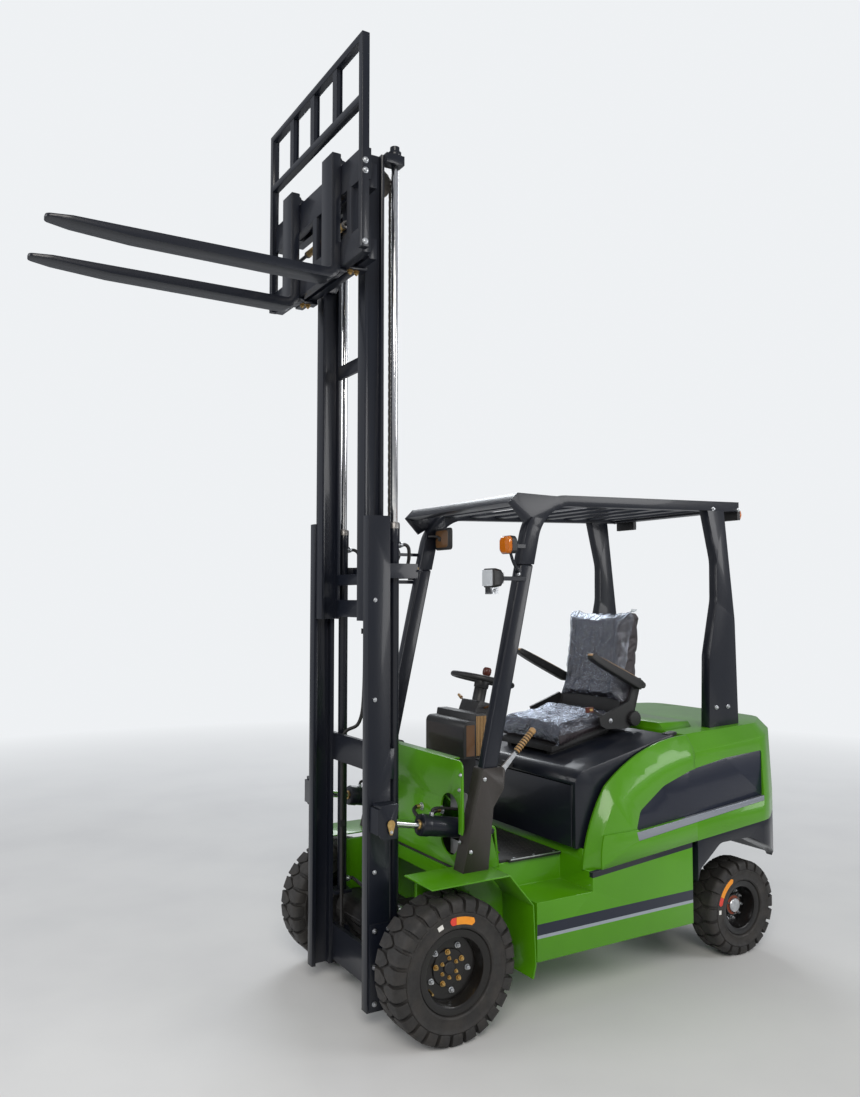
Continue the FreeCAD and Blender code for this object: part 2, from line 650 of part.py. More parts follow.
def side_cover():
    """The left side cover between hood and counterweight: a slab with a broad bevel on its swept edge."""
    inner = ((STEP_BACK + 7, BELT_FRONT_Z), (bay(0.058), 735), (bay(0.197), 893),
             (bay(0.494), 1010), (BAY_BACK, WEIGHT_TOP))
    outer = ((bay(0.088), BELT_FRONT_Z), (bay(0.114), 715), (bay(0.223), 828),
             (bay(0.535), 932), (BAY_BACK, WEIGHT_CREASE))
    low = HALF_WIDTH - COVER_THICKNESS
    knee = low + 10
    slab = Part.Face(swept_wire(low, *inner)).extrude(vec(0, knee - low, 0))
    bevel = Part.makeLoft([swept_wire(knee, *inner), swept_wire(HALF_WIDTH - 8, *outer)], True, True)
    skin = Part.Face(swept_wire(HALF_WIDTH - 8, *outer)).extrude(vec(0, 8, 0))
    above = [(0, 2000), (0, 700), (bay(0.374), 700), (BAY_BACK - 20, WEIGHT_WAIST + 20),
             (BAY_BACK - 20, 2000)]
    skin = skin.cut(prism_y(above, (0, 700)))
    return fuse(slab, bevel, skin).cut(belt(SEAT_GAP)).cut(side_inset_room())


def side_inset_outline(grow):
    """The dark panel in the side, as (x, z, radius) corners."""
    back = -WHEELBASE - 79
    return [(bay(0.4125) + grow, 692 - grow, 12), (bay(0.451) + grow, 778, 40),
            (bay(0.679), 872 + grow, 120), (bay(0.952), 924 + grow, 100),
            (-WHEELBASE + 166, 960 + grow, 60), (back, 975 + grow, 10), (back, 760 - grow, 10)]


def side_strip_outline(grow):
    """The grey strip under the dark panel."""
    back = -WHEELBASE - 79
    return [(bay(0.406) + grow, 690.5 + grow), (back, 762 + grow), (back, 738 - grow),
            (bay(0.425) + grow, 652 - grow)]


def side_inset_room():
    """The bed of the dark panel and the strip under it, in the left side."""
    bed = (HALF_WIDTH - INSET_DEPTH, HALF_WIDTH + 20)
    return prism_y(side_inset_outline(0), bed).fuse(prism_y(side_strip_outline(0), bed))


def side_inset():
    """The left dark side panel, a little below the surface round it."""
    bed = HALF_WIDTH - INSET_DEPTH + SEAT_GAP
    return prism_y(side_inset_outline(-SEAT_GAP), (bed, HALF_WIDTH - 16)).cut(
        prism_y(side_strip_outline(SEAT_GAP), (0, 700)))


def side_strip():
    """The left grey strip, standing a little proud."""
    return prism_y(side_strip_outline(-SEAT_GAP), (HALF_WIDTH - INSET_DEPTH + SEAT_GAP, HALF_WIDTH))


def rear_deck():
    """The cover behind the seat."""
    half = GUARD_Y - TUBE_Y - 20
    low = WEIGHT_TOP - 10
    body = prism_x([(-half, low), (half, low), (half - 40, WEIGHT_TOP + DECK_THICKNESS, 20),
                    (-half + 40, WEIGHT_TOP + DECK_THICKNESS, 20)], (BAY_BACK - 190, BAY_BACK))
    room = Part.Face(weight_wire(WEIGHT_TOP + SEAT_GAP, TOP_RISE, 0)).extrude(vec(0, 0, -200))
    return body.cut(room)


# Overhead guard

def pillar_front(z):
    """The x of the pillar's front edge at height z."""
    return PILLAR_FOOT_X - (z - PILLAR_FOOT_Z) * math.tan(math.radians(PILLAR_LEAN))


def roof_top(x):
    """The height of the roof's upper face at x."""
    return ROOF_Z + ROOF_RISE * (ROOF_FRONT - x) / (ROOF_FRONT - ROOF_BACK)


def guard_side_beam():
    """The left pillar and roof beam: one tube that leans back, bends over and runs to the rear."""
    knee_z = roof_top(pillar_front(ROOF_Z))
    knee_x = pillar_front(knee_z)
    outer = [(PILLAR_FOOT_X, PILLAR_FOOT_Z), (knee_x, knee_z, ROOF_BEND),
             (ROOF_BACK, roof_top(ROOF_BACK))]
    lean = math.cos(math.radians(PILLAR_LEAN))
    knee_back = pillar_front(knee_z - ROOF_BEAM) - PILLAR_DEPTH / lean
    inner = [(ROOF_BACK, roof_top(ROOF_BACK) - ROOF_BEAM),
             (knee_back, knee_z - ROOF_BEAM, ROOF_BEND - ROOF_BEAM),
             (PILLAR_FOOT_X - PILLAR_DEPTH / lean, PILLAR_FOOT_Z)]
    return prism_y(outer + inner, (GUARD_Y - TUBE_Y, GUARD_Y))


def guard_pillars():
    """Both front pillars, cut from the side beams where the bend begins, with their foot plates."""
    split = block((-3000, 0), (-1000, 1000), (roof_top(ROOF_FRONT) - 300, 4000))
    left = guard_side_beam().cut(split)
    return pair(left)


def guard_roof():
    """The roof: bent side beams, front and rear beams, corner gussets and the slats."""
    split = block((-3000, 0), (-1000, 1000), (0, roof_top(ROOF_FRONT) - 300))
    left = guard_side_beam().cut(split)
    gusset = prism_y([(ROOF_FRONT, ROOF_Z + 4), (-332, ROOF_Z - 42), (-408, ROOF_Z - 120),
                      (-620, ROOF_Z)], (GUARD_Y - 8, GUARD_Y))
    inner = GUARD_Y - TUBE_Y / 2
    front = prism_y([(ROOF_FRONT, ROOF_Z + 3), (ROOF_FRONT + 44, ROOF_Z - 40),
                     (ROOF_FRONT + 6, ROOF_Z - 52), (ROOF_FRONT - 40, ROOF_Z - 8)],
                    (-GUARD_Y + 4, GUARD_Y - 4))
    rear_z = roof_top(ROOF_BACK)
    rear = block((ROOF_BACK, ROOF_BACK + 60), (-inner, inner), (rear_z - ROOF_BEAM, rear_z))
    first = -560
    step = (ROOF_BACK + 70 - first) / (SLATS - 1)
    slats = []
    for i in range(SLATS):
        x = first + i * step
        top = roof_top(x)
        slats.append(block((x - 25, x + 25), (-inner, inner), (top - 34, top - 34 + SLAT_DEPTH)))
    return fuse(left, mirrored(left), gusset, mirrored(gusset), front, rear, *slats)


def guard_rear_leg():
    """The left rear leg, waisted seen from the side, standing on the counterweight."""
    under = ROOF_BEAM + SEAT_GAP
    x = -WHEELBASE
    front = [(x + 145, roof_top(x + 145) - under), (x + 84, 1890, 200), (x + 86, 1700, 160),
             (x + 146, 1430, 160), (x + 158, WEIGHT_CREASE)]
    back = [(x - 50, WEIGHT_CREASE), (x - 34, 1600, 400), (x + 30, roof_top(x + 30) - under)]
    leg = prism_y(front + back, (GUARD_Y - TUBE_Y, GUARD_Y))
    room = Part.Face(weight_wire(WEIGHT_TOP + SEAT_GAP, TOP_RISE, 0)).extrude(vec(0, 0, -300))
    return leg.cut(room)


def pillar_boot():
    """The left plastic boot round the foot of the pillar."""
    low, high = FENDER_TOP, BOOT_TOP
    grow = 16
    back = pillar_front(high) - PILLAR_DEPTH
    outside = [(pillar_front(low) + grow, low + SEAT_GAP), (pillar_front(high) + grow / 2, high, 10),
               (back - 30, high, 18), (back - 22, high - 90, 20), (back + 30, high - 160, 20),
               (pillar_front(low) - PILLAR_DEPTH - 36, low + SEAT_GAP)]
    body = prism_y(outside, (GUARD_Y - TUBE_Y - BOOT_WALL, GUARD_Y + BOOT_WALL - 2))
    gap = SEAT_GAP
    depth = PILLAR_DEPTH / math.cos(math.radians(PILLAR_LEAN)) + gap
    end = high + 20
    hollow = prism_y([(pillar_front(PILLAR_FOOT_Z) + gap, PILLAR_FOOT_Z), (pillar_front(end) + gap, end),
                      (pillar_front(end) - depth, end),
                      (pillar_front(PILLAR_FOOT_Z) - depth, PILLAR_FOOT_Z)],
                     (GUARD_Y - TUBE_Y - gap, GUARD_Y + gap))
    return body.cut(hollow)


# Controls and lamps

def column_axis():
    """The unit vector up the steering column."""
    lean = math.radians(COLUMN_LEAN)
    return (-math.sin(lean), 0, math.cos(lean))


def column_point(distance):
    """A point on the column's axis, distance below the steering wheel's centre."""
    axis = column_axis()
    return (STEERING_CENTRE[0] - axis[0] * distance, 0, STEERING_CENTRE[1] - axis[2] * distance)


def console():
    """The instrument console on its tower, with the shroud and the steering column."""
    back, front = CONSOLE_X
    low, top = CONSOLE_Z
    step = back + CONSOLE_STEP[0]
    high = top + CONSOLE_STEP[1]
    body = prism_y([(front, low), (front, top, 28), (step + 4, top), (step, high, 6), (back, high, 10),
                    (back, low)], (-CONSOLE_HALF_WIDTH, CONSOLE_HALF_WIDTH))
    column = bar_between(column_point(360), column_point(40), COLUMN_RADIUS)
    tower_x = (back + 6, front - 14)
    tower = prism_y([(tower_x[1], low + 10), (tower_x[0], low + 10),
                     (tower_x[0], toe_top(tower_x[0]) + SEAT_GAP),
                     (tower_x[1], toe_top(tower_x[1]) + SEAT_GAP)], (-TOWER_HALF_WIDTH, TOWER_HALF_WIDTH))
    shroud = prism_y([(back + 8, high - 20), (-432, 1240, 12), (-500, 1222, 12), (-470, 1090),
                      (back + 8, 1090)], (-SHROUD_HALF_WIDTH, SHROUD_HALF_WIDTH))
    return fuse(body, column, tower, shroud)


def steering_wheel():
    """Rim, three spokes, hub and the spinner knob."""
    centre = vec(STEERING_CENTRE[0], 0, STEERING_CENTRE[1])
    axis = vec(*column_axis())
    ring = Part.makeTorus(STEERING_RADIUS - STEERING_GRIP, STEERING_GRIP, centre, axis)
    hub = bar_between(column_point(39), column_point(-8), 34)
    across = vec(0, 1, 0)
    up = axis.cross(across)
    spokes = []
    for turn in (90, 210, 330):
        angle = math.radians(turn)
        way = across * math.cos(angle) + up * math.sin(angle)
        end = centre + way * (STEERING_RADIUS - STEERING_GRIP)
        spokes.append(bar_between(tuple(centre), tuple(end), 9))
    angle = math.radians(140)
    way = across * math.cos(angle) + up * math.sin(angle)
    foot = centre + way * (STEERING_RADIUS - STEERING_GRIP)
    knob = fuse(bar_between(tuple(foot), tuple(foot + axis * 40), 9),
                Part.makeSphere(21, foot + axis * 48))
    return fuse(ring, hub, *spokes, knob)


def control_levers():
    """The lift, tilt and shift levers on the back of the console."""
    back = CONSOLE_X[0] - SEAT_GAP
    levers = []
    for y in LEVER_Y:
        base = block((back - 26, back), (y - 13, y + 13), (1046, 1080))
        stick = bar_between((back - 16, y, 1070), (-452, y, 1130), 5)
        knob = Part.makeSphere(12, vec(-454, y, 1138))
        levers.append(fuse(base, stick, knob))
    return Part.makeCompound(levers)


def parking_brake():
    """The brake lever with its ribbed grip, on a bracket at the left boot."""
    y = (BRAKE_Y - 5, BRAKE_Y + 5)
    x, z = BRAKE_PIVOT
    stand = block((-288, -254), (BRAKE_Y - 5, GUARD_Y - TUBE_Y - BOOT_WALL - SEAT_GAP), (952, 992))
    arm = block((x - 14, -254), y, (z - 14, z + 14))
    pin = bar_y(BRAKE_PIVOT, 9, (BRAKE_Y - 20, BRAKE_Y + 20))
    foot, end = [(px, BRAKE_Y, pz) for px, pz in BRAKE_GRIP]
    link = bar_between((x, BRAKE_Y, z), foot, 8)
    grip = bar_between(foot, end, 13)
    way = (vec(*end) - vec(*foot)) * (1 / BRAKE_RIBS)
    ribs = []
    for i in range(BRAKE_RIBS):
        low = vec(*foot) + way * (i + 0.25)
        ribs.append(bar_between(tuple(low), tuple(low + way * 0.5), 16))
    return fuse(stand, arm, pin, link, grip, *ribs)


def pedals():
    """Brake and accelerator pedals on the toe board."""
    plates = []
    back, front = -375, -290
    for y in (-130, -215):
        plate = prism_y([(back, toe_top(back) + 30), (back, toe_top(back) + 39),
                         (front, toe_top(front) + 39), (front, toe_top(front) + 30)], (y - 34, y + 34))
        stem = prism_y([(-340, toe_top(-340) + 0.5), (-340, toe_top(-340) + 34),
                        (-320, toe_top(-320) + 34), (-320, toe_top(-320) + 0.5)], (y - 8, y + 8))
        plates.append(fuse(plate, stem))
    return Part.makeCompound(plates)


def front_lamp(place, size, reach):
    """A lamp body on a short arm that reaches back to the left pillar."""
    x, z = place
    body = block((x - size[0], x), (GUARD_Y + 4, GUARD_Y + 4 + size[1]),
                 (z - size[2] / 2, z + size[2] / 2))
    body = body.makeFillet(12, body.Edges)
    arm = block((x - size[0] - reach, x - size[0] / 2), (GUARD_Y + SEAT_GAP, GUARD_Y + 12),
                (z - 8, z + 8))
    return fuse(body, arm)


def head_lamps():
    return pair(front_lamp((-190, 1790), (62, 88, 82), 165))


def turn_lamps():
    return pair(front_lamp((-270, 1928), (54, 88, 82), 90))


def rear_lamps():
    body = block((ROOF_BACK - 34, ROOF_BACK - SEAT_GAP), (GUARD_Y - 150, GUARD_Y - 10), (2100, 2155))
    return pair(body)


def mirror():
    """The mirror on the right front corner."""
    arm = bar_between((-440, -GUARD_Y + TUBE_Y + 4, 2020), (-478, -GUARD_Y + TUBE_Y + 60, 2020), 7)
    glass = block((-500, -476), (-GUARD_Y + TUBE_Y + 8, -GUARD_Y + TUBE_Y + 148), (1950, 2060))
    glass = glass.makeFillet(10, glass.Edges)
    return fuse(glass, arm)


# Hood and seat

def hood():
    """The hood over the battery: front, top and sides as one thick shell, open below."""
    side = (bay(0.18), 880)
    outer = [(HOOD_FRONT, HOOD_BOTTOM), (HOOD_FRONT, HOOD_FRONT_Z, 60), (HOOD_BACK, HOOD_BACK_Z, 25),
             (HOOD_BACK, HOOD_REAR_FOOT, 10), (side[0], side[1], 90), (HOOD_FRONT - 58, HOOD_BOTTOM)]
    front = HOOD_FRONT - HOOD_WALL
    back = HOOD_BACK + HOOD_WALL
    inner = [(front, HOOD_BOTTOM - 10), (front, HOOD_FRONT_Z - HOOD_WALL, 45),
             (back, HOOD_BACK_Z - HOOD_WALL, 10), (back, HOOD_REAR_FOOT - 80),
             (side[0] - 20, side[1] - 180), (HOOD_FRONT - 78, HOOD_BOTTOM - 10)]
    half = HOOD_HALF_WIDTH
    inside = (-half + HOOD_WALL, half - HOOD_WALL)
    shell = prism_y(outer, (-half, half)).cut(prism_y(inner, inside))
    shell = shell.cut(block((front - 1, HOOD_FRONT + 1), inside, (0, HOOD_LIP_Z)))
    barrel = bar_y(HOOD_HINGE, HOOD_BARREL_RADIUS, HOOD_BARREL_Y)
    return fuse(shell, barrel, mirrored(barrel))


def front_panel():
    """The fixed panel under the front lip of the hood, standing on the front wall of the bay."""
    half = HOOD_HALF_WIDTH - HOOD_WALL - RUN_GAP
    low = HOOD_BOTTOM
    face = block((HOOD_FRONT - HOOD_WALL, HOOD_FRONT), (-half, half), (low, HOOD_LIP_Z - RUN_GAP))
    foot = block((STEP_BACK - PLATE, HOOD_FRONT), (-half, half), (low, low + PLATE))
    return fuse(face, foot)


def hood_top(x):
    """The height of the hood's upper face at x."""
    rise = HOOD_BACK_Z - HOOD_FRONT_Z
    return HOOD_FRONT_Z + rise * (HOOD_FRONT - x) / (HOOD_FRONT - HOOD_BACK)


def seat_base():
    """The seat's slides, pan and the plates that carry its back, sloped with the hood."""
    front, back = SEAT_FRONT, SEAT_BACK - 20
    pan = prism_y([(front, hood_top(front) + 20), (back, hood_top(back) + 20),
                   (back, hood_top(back) + SEAT_PAN), (front, hood_top(front) + SEAT_PAN)], (-200, 200))
    rails = []
    for y in (-170, 140):
        rails.append(prism_y([(front - 15, hood_top(front - 15)), (back + 20, hood_top(back + 20)),
                              (back + 20, hood_top(back + 20) + 22), (front - 15, hood_top(front - 15) + 22)],
                             (y, y + 30)))
    low = hood_top(SEAT_BACK - 40)
    half = SEAT_HALF_WIDTH - 10 + SEAT_GAP
    bar = block((SEAT_BACK - 72, SEAT_BACK - 16), (-SEAT_HALF_WIDTH - 6, SEAT_HALF_WIDTH + 6),
                (low + 26, low + 56))
    plate = prism_y([(SEAT_BACK - 5, low + 24), (SEAT_BACK - 70, low + 24),
                     (SEAT_BACK - 142, low + 254, 10), (SEAT_BACK - 105, low + 254, 10)],
                    (half, SEAT_HALF_WIDTH + 6))
    return fuse(pan, *rails, bar, plate, mirrored(plate))


def seat_cushion():
    """The cushion as a plain closed solid."""
    front, back = SEAT_FRONT, SEAT_BACK - 14
    under = SEAT_PAN + SEAT_GAP
    return prism_y([(front, hood_top(front) + under, 25), (front + 6, 1106, 38), (SEAT_BACK, 1168, 40),
                    (back, hood_top(back) + under, 10)], (-SEAT_HALF_WIDTH, SEAT_HALF_WIDTH))


def seat_back():
    """The backrest cushion as a plain closed solid, leaning back."""
    half = SEAT_HALF_WIDTH - 10
    x = SEAT_BACK
    return prism_y([(x - 32, 1178, 30), (x - 142, 1190, 30), (x - 176, 1640, 45), (x - 80, 1664, 45)],
                   (-half, half))


def armrest():
    """The left armrest on its pivot beside the backrest."""
    inside = SEAT_HALF_WIDTH + 6 + SEAT_GAP
    x = SEAT_BACK
    pad = prism_y([(x + 212, 1452, 12), (x + 202, 1412, 14), (x - 96, 1262, 16), (x - 120, 1310, 16)],
                  (inside + 1, SEAT_HALF_WIDTH + 58))
    pivot = bar_y((x - 112, 1290), 16, (inside, SEAT_HALF_WIDTH + 40))
    return fuse(pad, pivot)


# Mast

def outer_channel():
    """The left outer channel, open towards the middle."""
    y = (MAST_Y - OUTER_FLANGE_REACH, MAST_Y)
    body = block(MAST_X, y, MAST_Z)
    groove = block((MAST_X[0] + OUTER_FLANGE, MAST_X[1] - OUTER_FLANGE),
                   (y[0] - 1, MAST_Y - OUTER_WEB), (MAST_Z[0] - 1, MAST_Z[1] + 1))
    return body.cut(groove)


def inner_channel():
    """The left inner channel: an H section with a groove on each side."""
    body = block(INNER_X, INNER_Y, INNER_Z)
    groove_x = (INNER_X[0] + INNER_FLANGE, INNER_X[1] - INNER_FLANGE)
    z = (INNER_Z[0] - 1, INNER_Z[1] + 1)
    inside = block(groove_x, (INNER_Y[0] - 1, INNER_WEB[0]), z)
    outside = block(groove_x, (INNER_WEB[1], INNER_Y[1] + 1), z)
    return body.cut(inside).cut(outside)


def roller(place, radius, y, pin_y):
    """A roller on its pin."""
    return fuse(bar_y(place, radius, y), bar_y(place, 14, pin_y))


MAST_MIDDLE = (MAST_X[0] + MAST_X[1]) / 2
OUTER_ROLLER_RADIUS = (MAST_X[1] - MAST_X[0]) / 2 - OUTER_FLANGE - ROLLER_GAP
INNER_ROLLER_RADIUS = (INNER_X[1] - INNER_X[0]) / 2 - INNER_FLANGE - ROLLER_GAP


def tilt_bracket():
    """The left clevis on the outer channel that holds the eye of the tilt cylinder."""
    x, z = TILT_PIN
    out = TILT_Y + TILT_EYE_WIDTH / 2 + RUN_GAP
    cheek = prism_y([(x - 36, z - 60), (x + 44, z - 60, 20), (x + 44, z + 75, 20), (x - 40, z + 75, 10),
                     (x - 30, z + 20)], (out, out + 12))
    cap = block((x - 36, x + 44), (MAST_Y, out + 12), (z + 62, z + 74))
    front = block((x + 42, x + 54), (MAST_Y, out + 12), (z - 40, z + 60))
    pin = bar_y(TILT_PIN, TILT_PIN_RADIUS, (MAST_Y, out + 18))
    return fuse(cheek, cap, front, pin)


def outer_mast():
    """Outer channels with cross plates, pivot ears and pins, tilt brackets, top yoke and guide rollers."""
    channel = outer_channel()
    back = (MAST_X[0] - 20, MAST_X[0])
    plates = [block(back, (-MAST_Y, MAST_Y), z) for z in ((95, 250), (980, 1100))]
    ears = []
    for y in ((LUG_Y[0] - EAR_THICKNESS - 1, LUG_Y[0] - 1), (LUG_Y[1] + 1, LUG_Y[1] + EAR_THICKNESS + 1)):
        end = bar_y(PIVOT, PIVOT_EAR_RADIUS, y)
        arm = block((PIVOT[0], MAST_X[0]), y,
                    (PIVOT[1] - PIVOT_EAR_RADIUS, PIVOT[1] + PIVOT_EAR_RADIUS))
        ears.append(fuse(end, arm))
    pin = bar_y(PIVOT, PIVOT_PIN_RADIUS, (LUG_Y[0] - EAR_THICKNESS - 1, LUG_Y[1] + EAR_THICKNESS + 1))
    foot = block((70, MAST_X[0]), (215, MAST_Y), (LIFT_BARREL_Z[0] - 16, LIFT_BARREL_Z[0]))
    side_plate = block((140, 242), (MAST_Y, MAST_Y + 10), (90, 420))
    arm = block((20, MAST_X[0]), (MAST_Y - 22, MAST_Y), YOKE_Z)
    bar = block((20, 44), (-MAST_Y, MAST_Y), YOKE_Z)
    chain_x = SHEAVE[0] - CHAIN_OFFSET
    anchor = block((40, chain_x + 14), SHEAVE_Y, (YOKE_Z[0], YOKE_Z[1] - 20 - SEAT_GAP))
    guide = roller((MAST_MIDDLE, MAST_Z[1] - 50), INNER_ROLLER_RADIUS,
                   (INNER_WEB[1] + 2, INNER_Y[1] - 2), (INNER_Y[1] - 4, MAST_Y - OUTER_WEB))
    half = [channel, *ears, pin, foot, side_plate, arm, anchor, guide, tilt_bracket()]
    lug_gap = block((PIVOT[0] - 45, MAST_X[0] - 2), (LUG_Y[0] - 1, LUG_Y[1] + 1), (150, 262))
    plates[0] = plates[0].cut(lug_gap).cut(mirrored(lug_gap))
    return fuse(*half, *[mirrored(piece) for piece in half], *plates, bar)


def lift_barrels():
    """Both lift cylinder barrels, standing on the mast's feet, with a gland at the top."""
    place = (LIFT_X, LIFT_Y)
    low, high = LIFT_BARREL_Z
    body = bar_z(place, LIFT_BARREL_RADIUS, (low, high))
    gland = bar_z(place, LIFT_BARREL_RADIUS + 3, (high - 60, high + 6))
    bore = bar_z(place, LIFT_ROD_RADIUS + SEAT_GAP, (low + 20, high + 10))
    return pair(fuse(body, gland).cut(bore))


def lift_rods():
    """Both lift rods with the nut that holds each to the head of the inner mast."""
    place = (LIFT_X, LIFT_Y)
    rod = bar_z(place, LIFT_ROD_RADIUS, (LIFT_BARREL_Z[0] + 1560, INNER_Z[1] - 40 - SEAT_GAP))
    neck = bar_z(place, 10, (INNER_Z[1] - 41, INNER_Z[1] + 2))
    nut = bar_z(place, 18, (INNER_Z[1] + SEAT_GAP, INNER_Z[1] + 14))
    cap = bar_z(place, LIFT_ROD_RADIUS, (INNER_Z[1] + 10, INNER_Z[1] + 43))
    return pair(fuse(rod, neck, nut, cap))


def inner_mast():
    """Inner channels with cross members, head brackets, sheave cheeks and the lower rollers."""
    channel = inner_channel()
    cross_x = (INNER_X[0], INNER_X[0] + INNER_FLANGE)
    crosses = [block(cross_x, (-INNER_Y[0], INNER_Y[0]), z)
               for z in ((1625, 1700), (1765, 1812), (2700, 2760), (3350, 3425))]
    head = block((LIFT_X - 32, INNER_X[0] + 5), (215, 271), (INNER_Z[1] - 40, INNER_Z[1]))
    head = head.cut(bar_z((LIFT_X, LIFT_Y), 10 + SEAT_GAP, (INNER_Z[1] - 50, INNER_Z[1] + 10)))
    cheek_in = prism_y([(SHEAVE[0] - 22, SHEAVE[1] - 20), (SHEAVE[0] - 22, SHEAVE[1] + 24, 18),
                        (SHEAVE[0] + 34, SHEAVE[1] + 24, 18), (SHEAVE[0] + 34, 3350),
                        (SHEAVE[0] + 12, 3350)], (118, 130))
    cheek_out = block((SHEAVE[0] - 20, INNER_X[0] + 5), (160, 182), (SHEAVE[1] - 30, SHEAVE[1] + 40))
    shaft = bar_y(SHEAVE, 13, (118, 178))
    place = (MAST_MIDDLE, INNER_Z[0] + 50)
    guide = roller(place, OUTER_ROLLER_RADIUS, (INNER_Y[1] + 7, MAST_Y - OUTER_WEB - 2),
                   (INNER_WEB[1] - 1, MAST_Y - 18))
    half = [channel, head, cheek_in, cheek_out, shaft, guide]
    return fuse(*half, *[mirrored(piece) for piece in half], *crosses)


def chain_sheaves():
    """Both chain wheels at the top of the inner mast."""
    body = bar_y(SHEAVE, SHEAVE_RADIUS - 6, SHEAVE_Y)
    for y in (SHEAVE_Y[0], SHEAVE_Y[1] - 3):
        body = fuse(body, bar_y(SHEAVE, SHEAVE_RADIUS, (y, y + 3)))
    return pair(body.cut(bar_y(SHEAVE, 13 + PIN_GAP, (SHEAVE_Y[0] - 1, SHEAVE_Y[1] + 1))))


def chain_run(x, z):
    """A straight run of both lift chains."""
    y = (SHEAVE_Y[0] + 4, SHEAVE_Y[1] - 4)
    return pair(block((x - 8, x + 8), y, z))


def anchor_chains():
    """From the yoke of the outer mast up to the chain wheels."""
    return chain_run(SHEAVE[0] - CHAIN_OFFSET, (YOKE_Z[1] - 20, SHEAVE[1]))


def carriage_chains():
    """From the chain wheels down to the carriage."""
    return chain_run(SHEAVE[0] + CHAIN_OFFSET, (CARRIAGE_ANCHOR_Z[1] + SEAT_GAP, SHEAVE[1]))


# Carriage, side shifter and forks

def carriage():
    """Roller plates that run in the inner mast, two cross bars and the barrel of the shift cylinder."""
    y = CARRIAGE_PLATE_Y
    plate = block((188, CARRIAGE_X[1]), y, CARRIAGE_PLATE_Z)
    rollers = []
    for z in CARRIAGE_ROLLER_Z:
        rollers.append(roller((MAST_MIDDLE, z), INNER_ROLLER_RADIUS, (y[1] + RUN_GAP, INNER_WEB[0] - 2),
                              (y[0], INNER_WEB[0] - 4)))
    anchor = block((SHEAVE[0] + CHAIN_OFFSET - 14, SHEAVE[0] + CHAIN_OFFSET + 20), (SHEAVE_Y[0], y[0] + 2),
                   CARRIAGE_ANCHOR_Z)
    half = [plate, anchor, *rollers]
    bars = [block(CARRIAGE_X, (-CARRIAGE_HALF_WIDTH, CARRIAGE_HALF_WIDTH), z)
            for z in ((UPPER_BAR_Z[0] + 10, UPPER_BAR_Z[1] - 15), CARRIAGE_LOW_BAR_Z)]
    x, z = SHIFT_CYLINDER
    barrel = bar_y(SHIFT_CYLINDER, SHIFT_BARREL_RADIUS, (-200, 200))
    stands = [block((CARRIAGE_X[1] - 20, x), (y0, y0 + 30), (z - 12, z + 12)) for y0 in (-170, 140)]
    web = [block((CARRIAGE_X[0], CARRIAGE_X[1]), (y0, y0 + 40), (LOWER_BAR_Z[1] - 20, UPPER_BAR_Z[0] + 20))
           for y0 in (-175, 135)]
    body = fuse(*half, *[mirrored(piece) for piece in half], *bars, barrel, *stands, *web)
    return body.cut(bar_y(SHIFT_CYLINDER, SHIFT_ROD_RADIUS + PIN_GAP, (-210, 210)))


def shifter_frame():
    """The shifting frame: fork bars, hooks over the carriage, and the rod of the shift cylinder."""
    y = (-SHIFTER_HALF_WIDTH, SHIFTER_HALF_WIDTH)
    upper = block(SHIFTER_X, y, UPPER_BAR_Z)
    lower = block(SHIFTER_X, y, LOWER_BAR_Z)
    post_z = (LOWER_BAR_Z[1] - 5, UPPER_BAR_Z[0] + 5)
    posts = [block(SHIFTER_X, (y0, y0 + 40), post_z) for y0 in (-360, -20, 320)]
    top = UPPER_BAR_Z[1] - 15 + SEAT_GAP
    hooks = []
    for y0 in (-275, 215):
        hook = prism_y([(SHIFTER_X[0] + 5, top), (SHIFTER_X[0] + 5, top + 14.5), (255, top + 14.5),
                        (255, top - 26), (CARRIAGE_X[0] - 0.5, top - 26), (CARRIAGE_X[0] - 0.5, top)],
                       (y0, y0 + 60))
        hooks.append(hook)
    low = CARRIAGE_LOW_BAR_Z[0] - SEAT_GAP
    lip = low + LOWER_HOOK_LIP
    for y0 in (-275, 225):
        hook = prism_y([(SHIFTER_X[0] + 5, low - 14), (SHIFTER_X[0] + 5, low), (CARRIAGE_X[0] - 0.5, low),
                        (CARRIAGE_X[0] - 0.5, lip), (252, lip), (252, low - 14)], (y0, y0 + 50))
        hooks.append(hook)
    x, z = SHIFT_CYLINDER
    rod = bar_y(SHIFT_CYLINDER, SHIFT_ROD_RADIUS, (-330, 330))
    ends = [block((x - 14, SHIFTER_X[0] + 5), (y0, y0 + 14), (z - 14, z + 14)) for y0 in (-334, 320)]
    pad_x = (CARRIAGE_X[1] + SEAT_GAP, SHIFTER_X[0])
    pad_z = (UPPER_BAR_Z[0] + 30, UPPER_BAR_Z[1] - 35)
    pads = [block(pad_x, (y0, y0 + 60), pad_z) for y0 in (-330, 270)]
    low_pad_z = (LOWER_BAR_Z[0] + 20, LOWER_BAR_Z[1] - 20)
    low_pads = [block(pad_x, (y0, y0 + 50), low_pad_z) for y0 in (-380, 330)]
    return fuse(upper, lower, *posts, *hooks, rod, *ends, *pads, *low_pads)


def backrest():
    """The load backrest: two uprights, top and middle rails and three short bars."""
    outside = SHIFTER_HALF_WIDTH + BACKREST_BAR
    upright = block(BACKREST_X, (SHIFTER_HALF_WIDTH, outside), BACKREST_Z)
    rails = [block(BACKREST_X, (-outside, outside), (z - BACKREST_BAR, z))
             for z in (BACKREST_Z[1], BACKREST_MIDDLE_Z + BACKREST_BAR)]
    bars = [block((BACKREST_X[0] + 6, BACKREST_X[1] - 4), (y - 13, y + 13),
                  (BACKREST_MIDDLE_Z + 5, BACKREST_Z[1] - 5)) for y in (-230, 0, 230)]
    return fuse(upright, mirrored(upright), *rails, *bars)


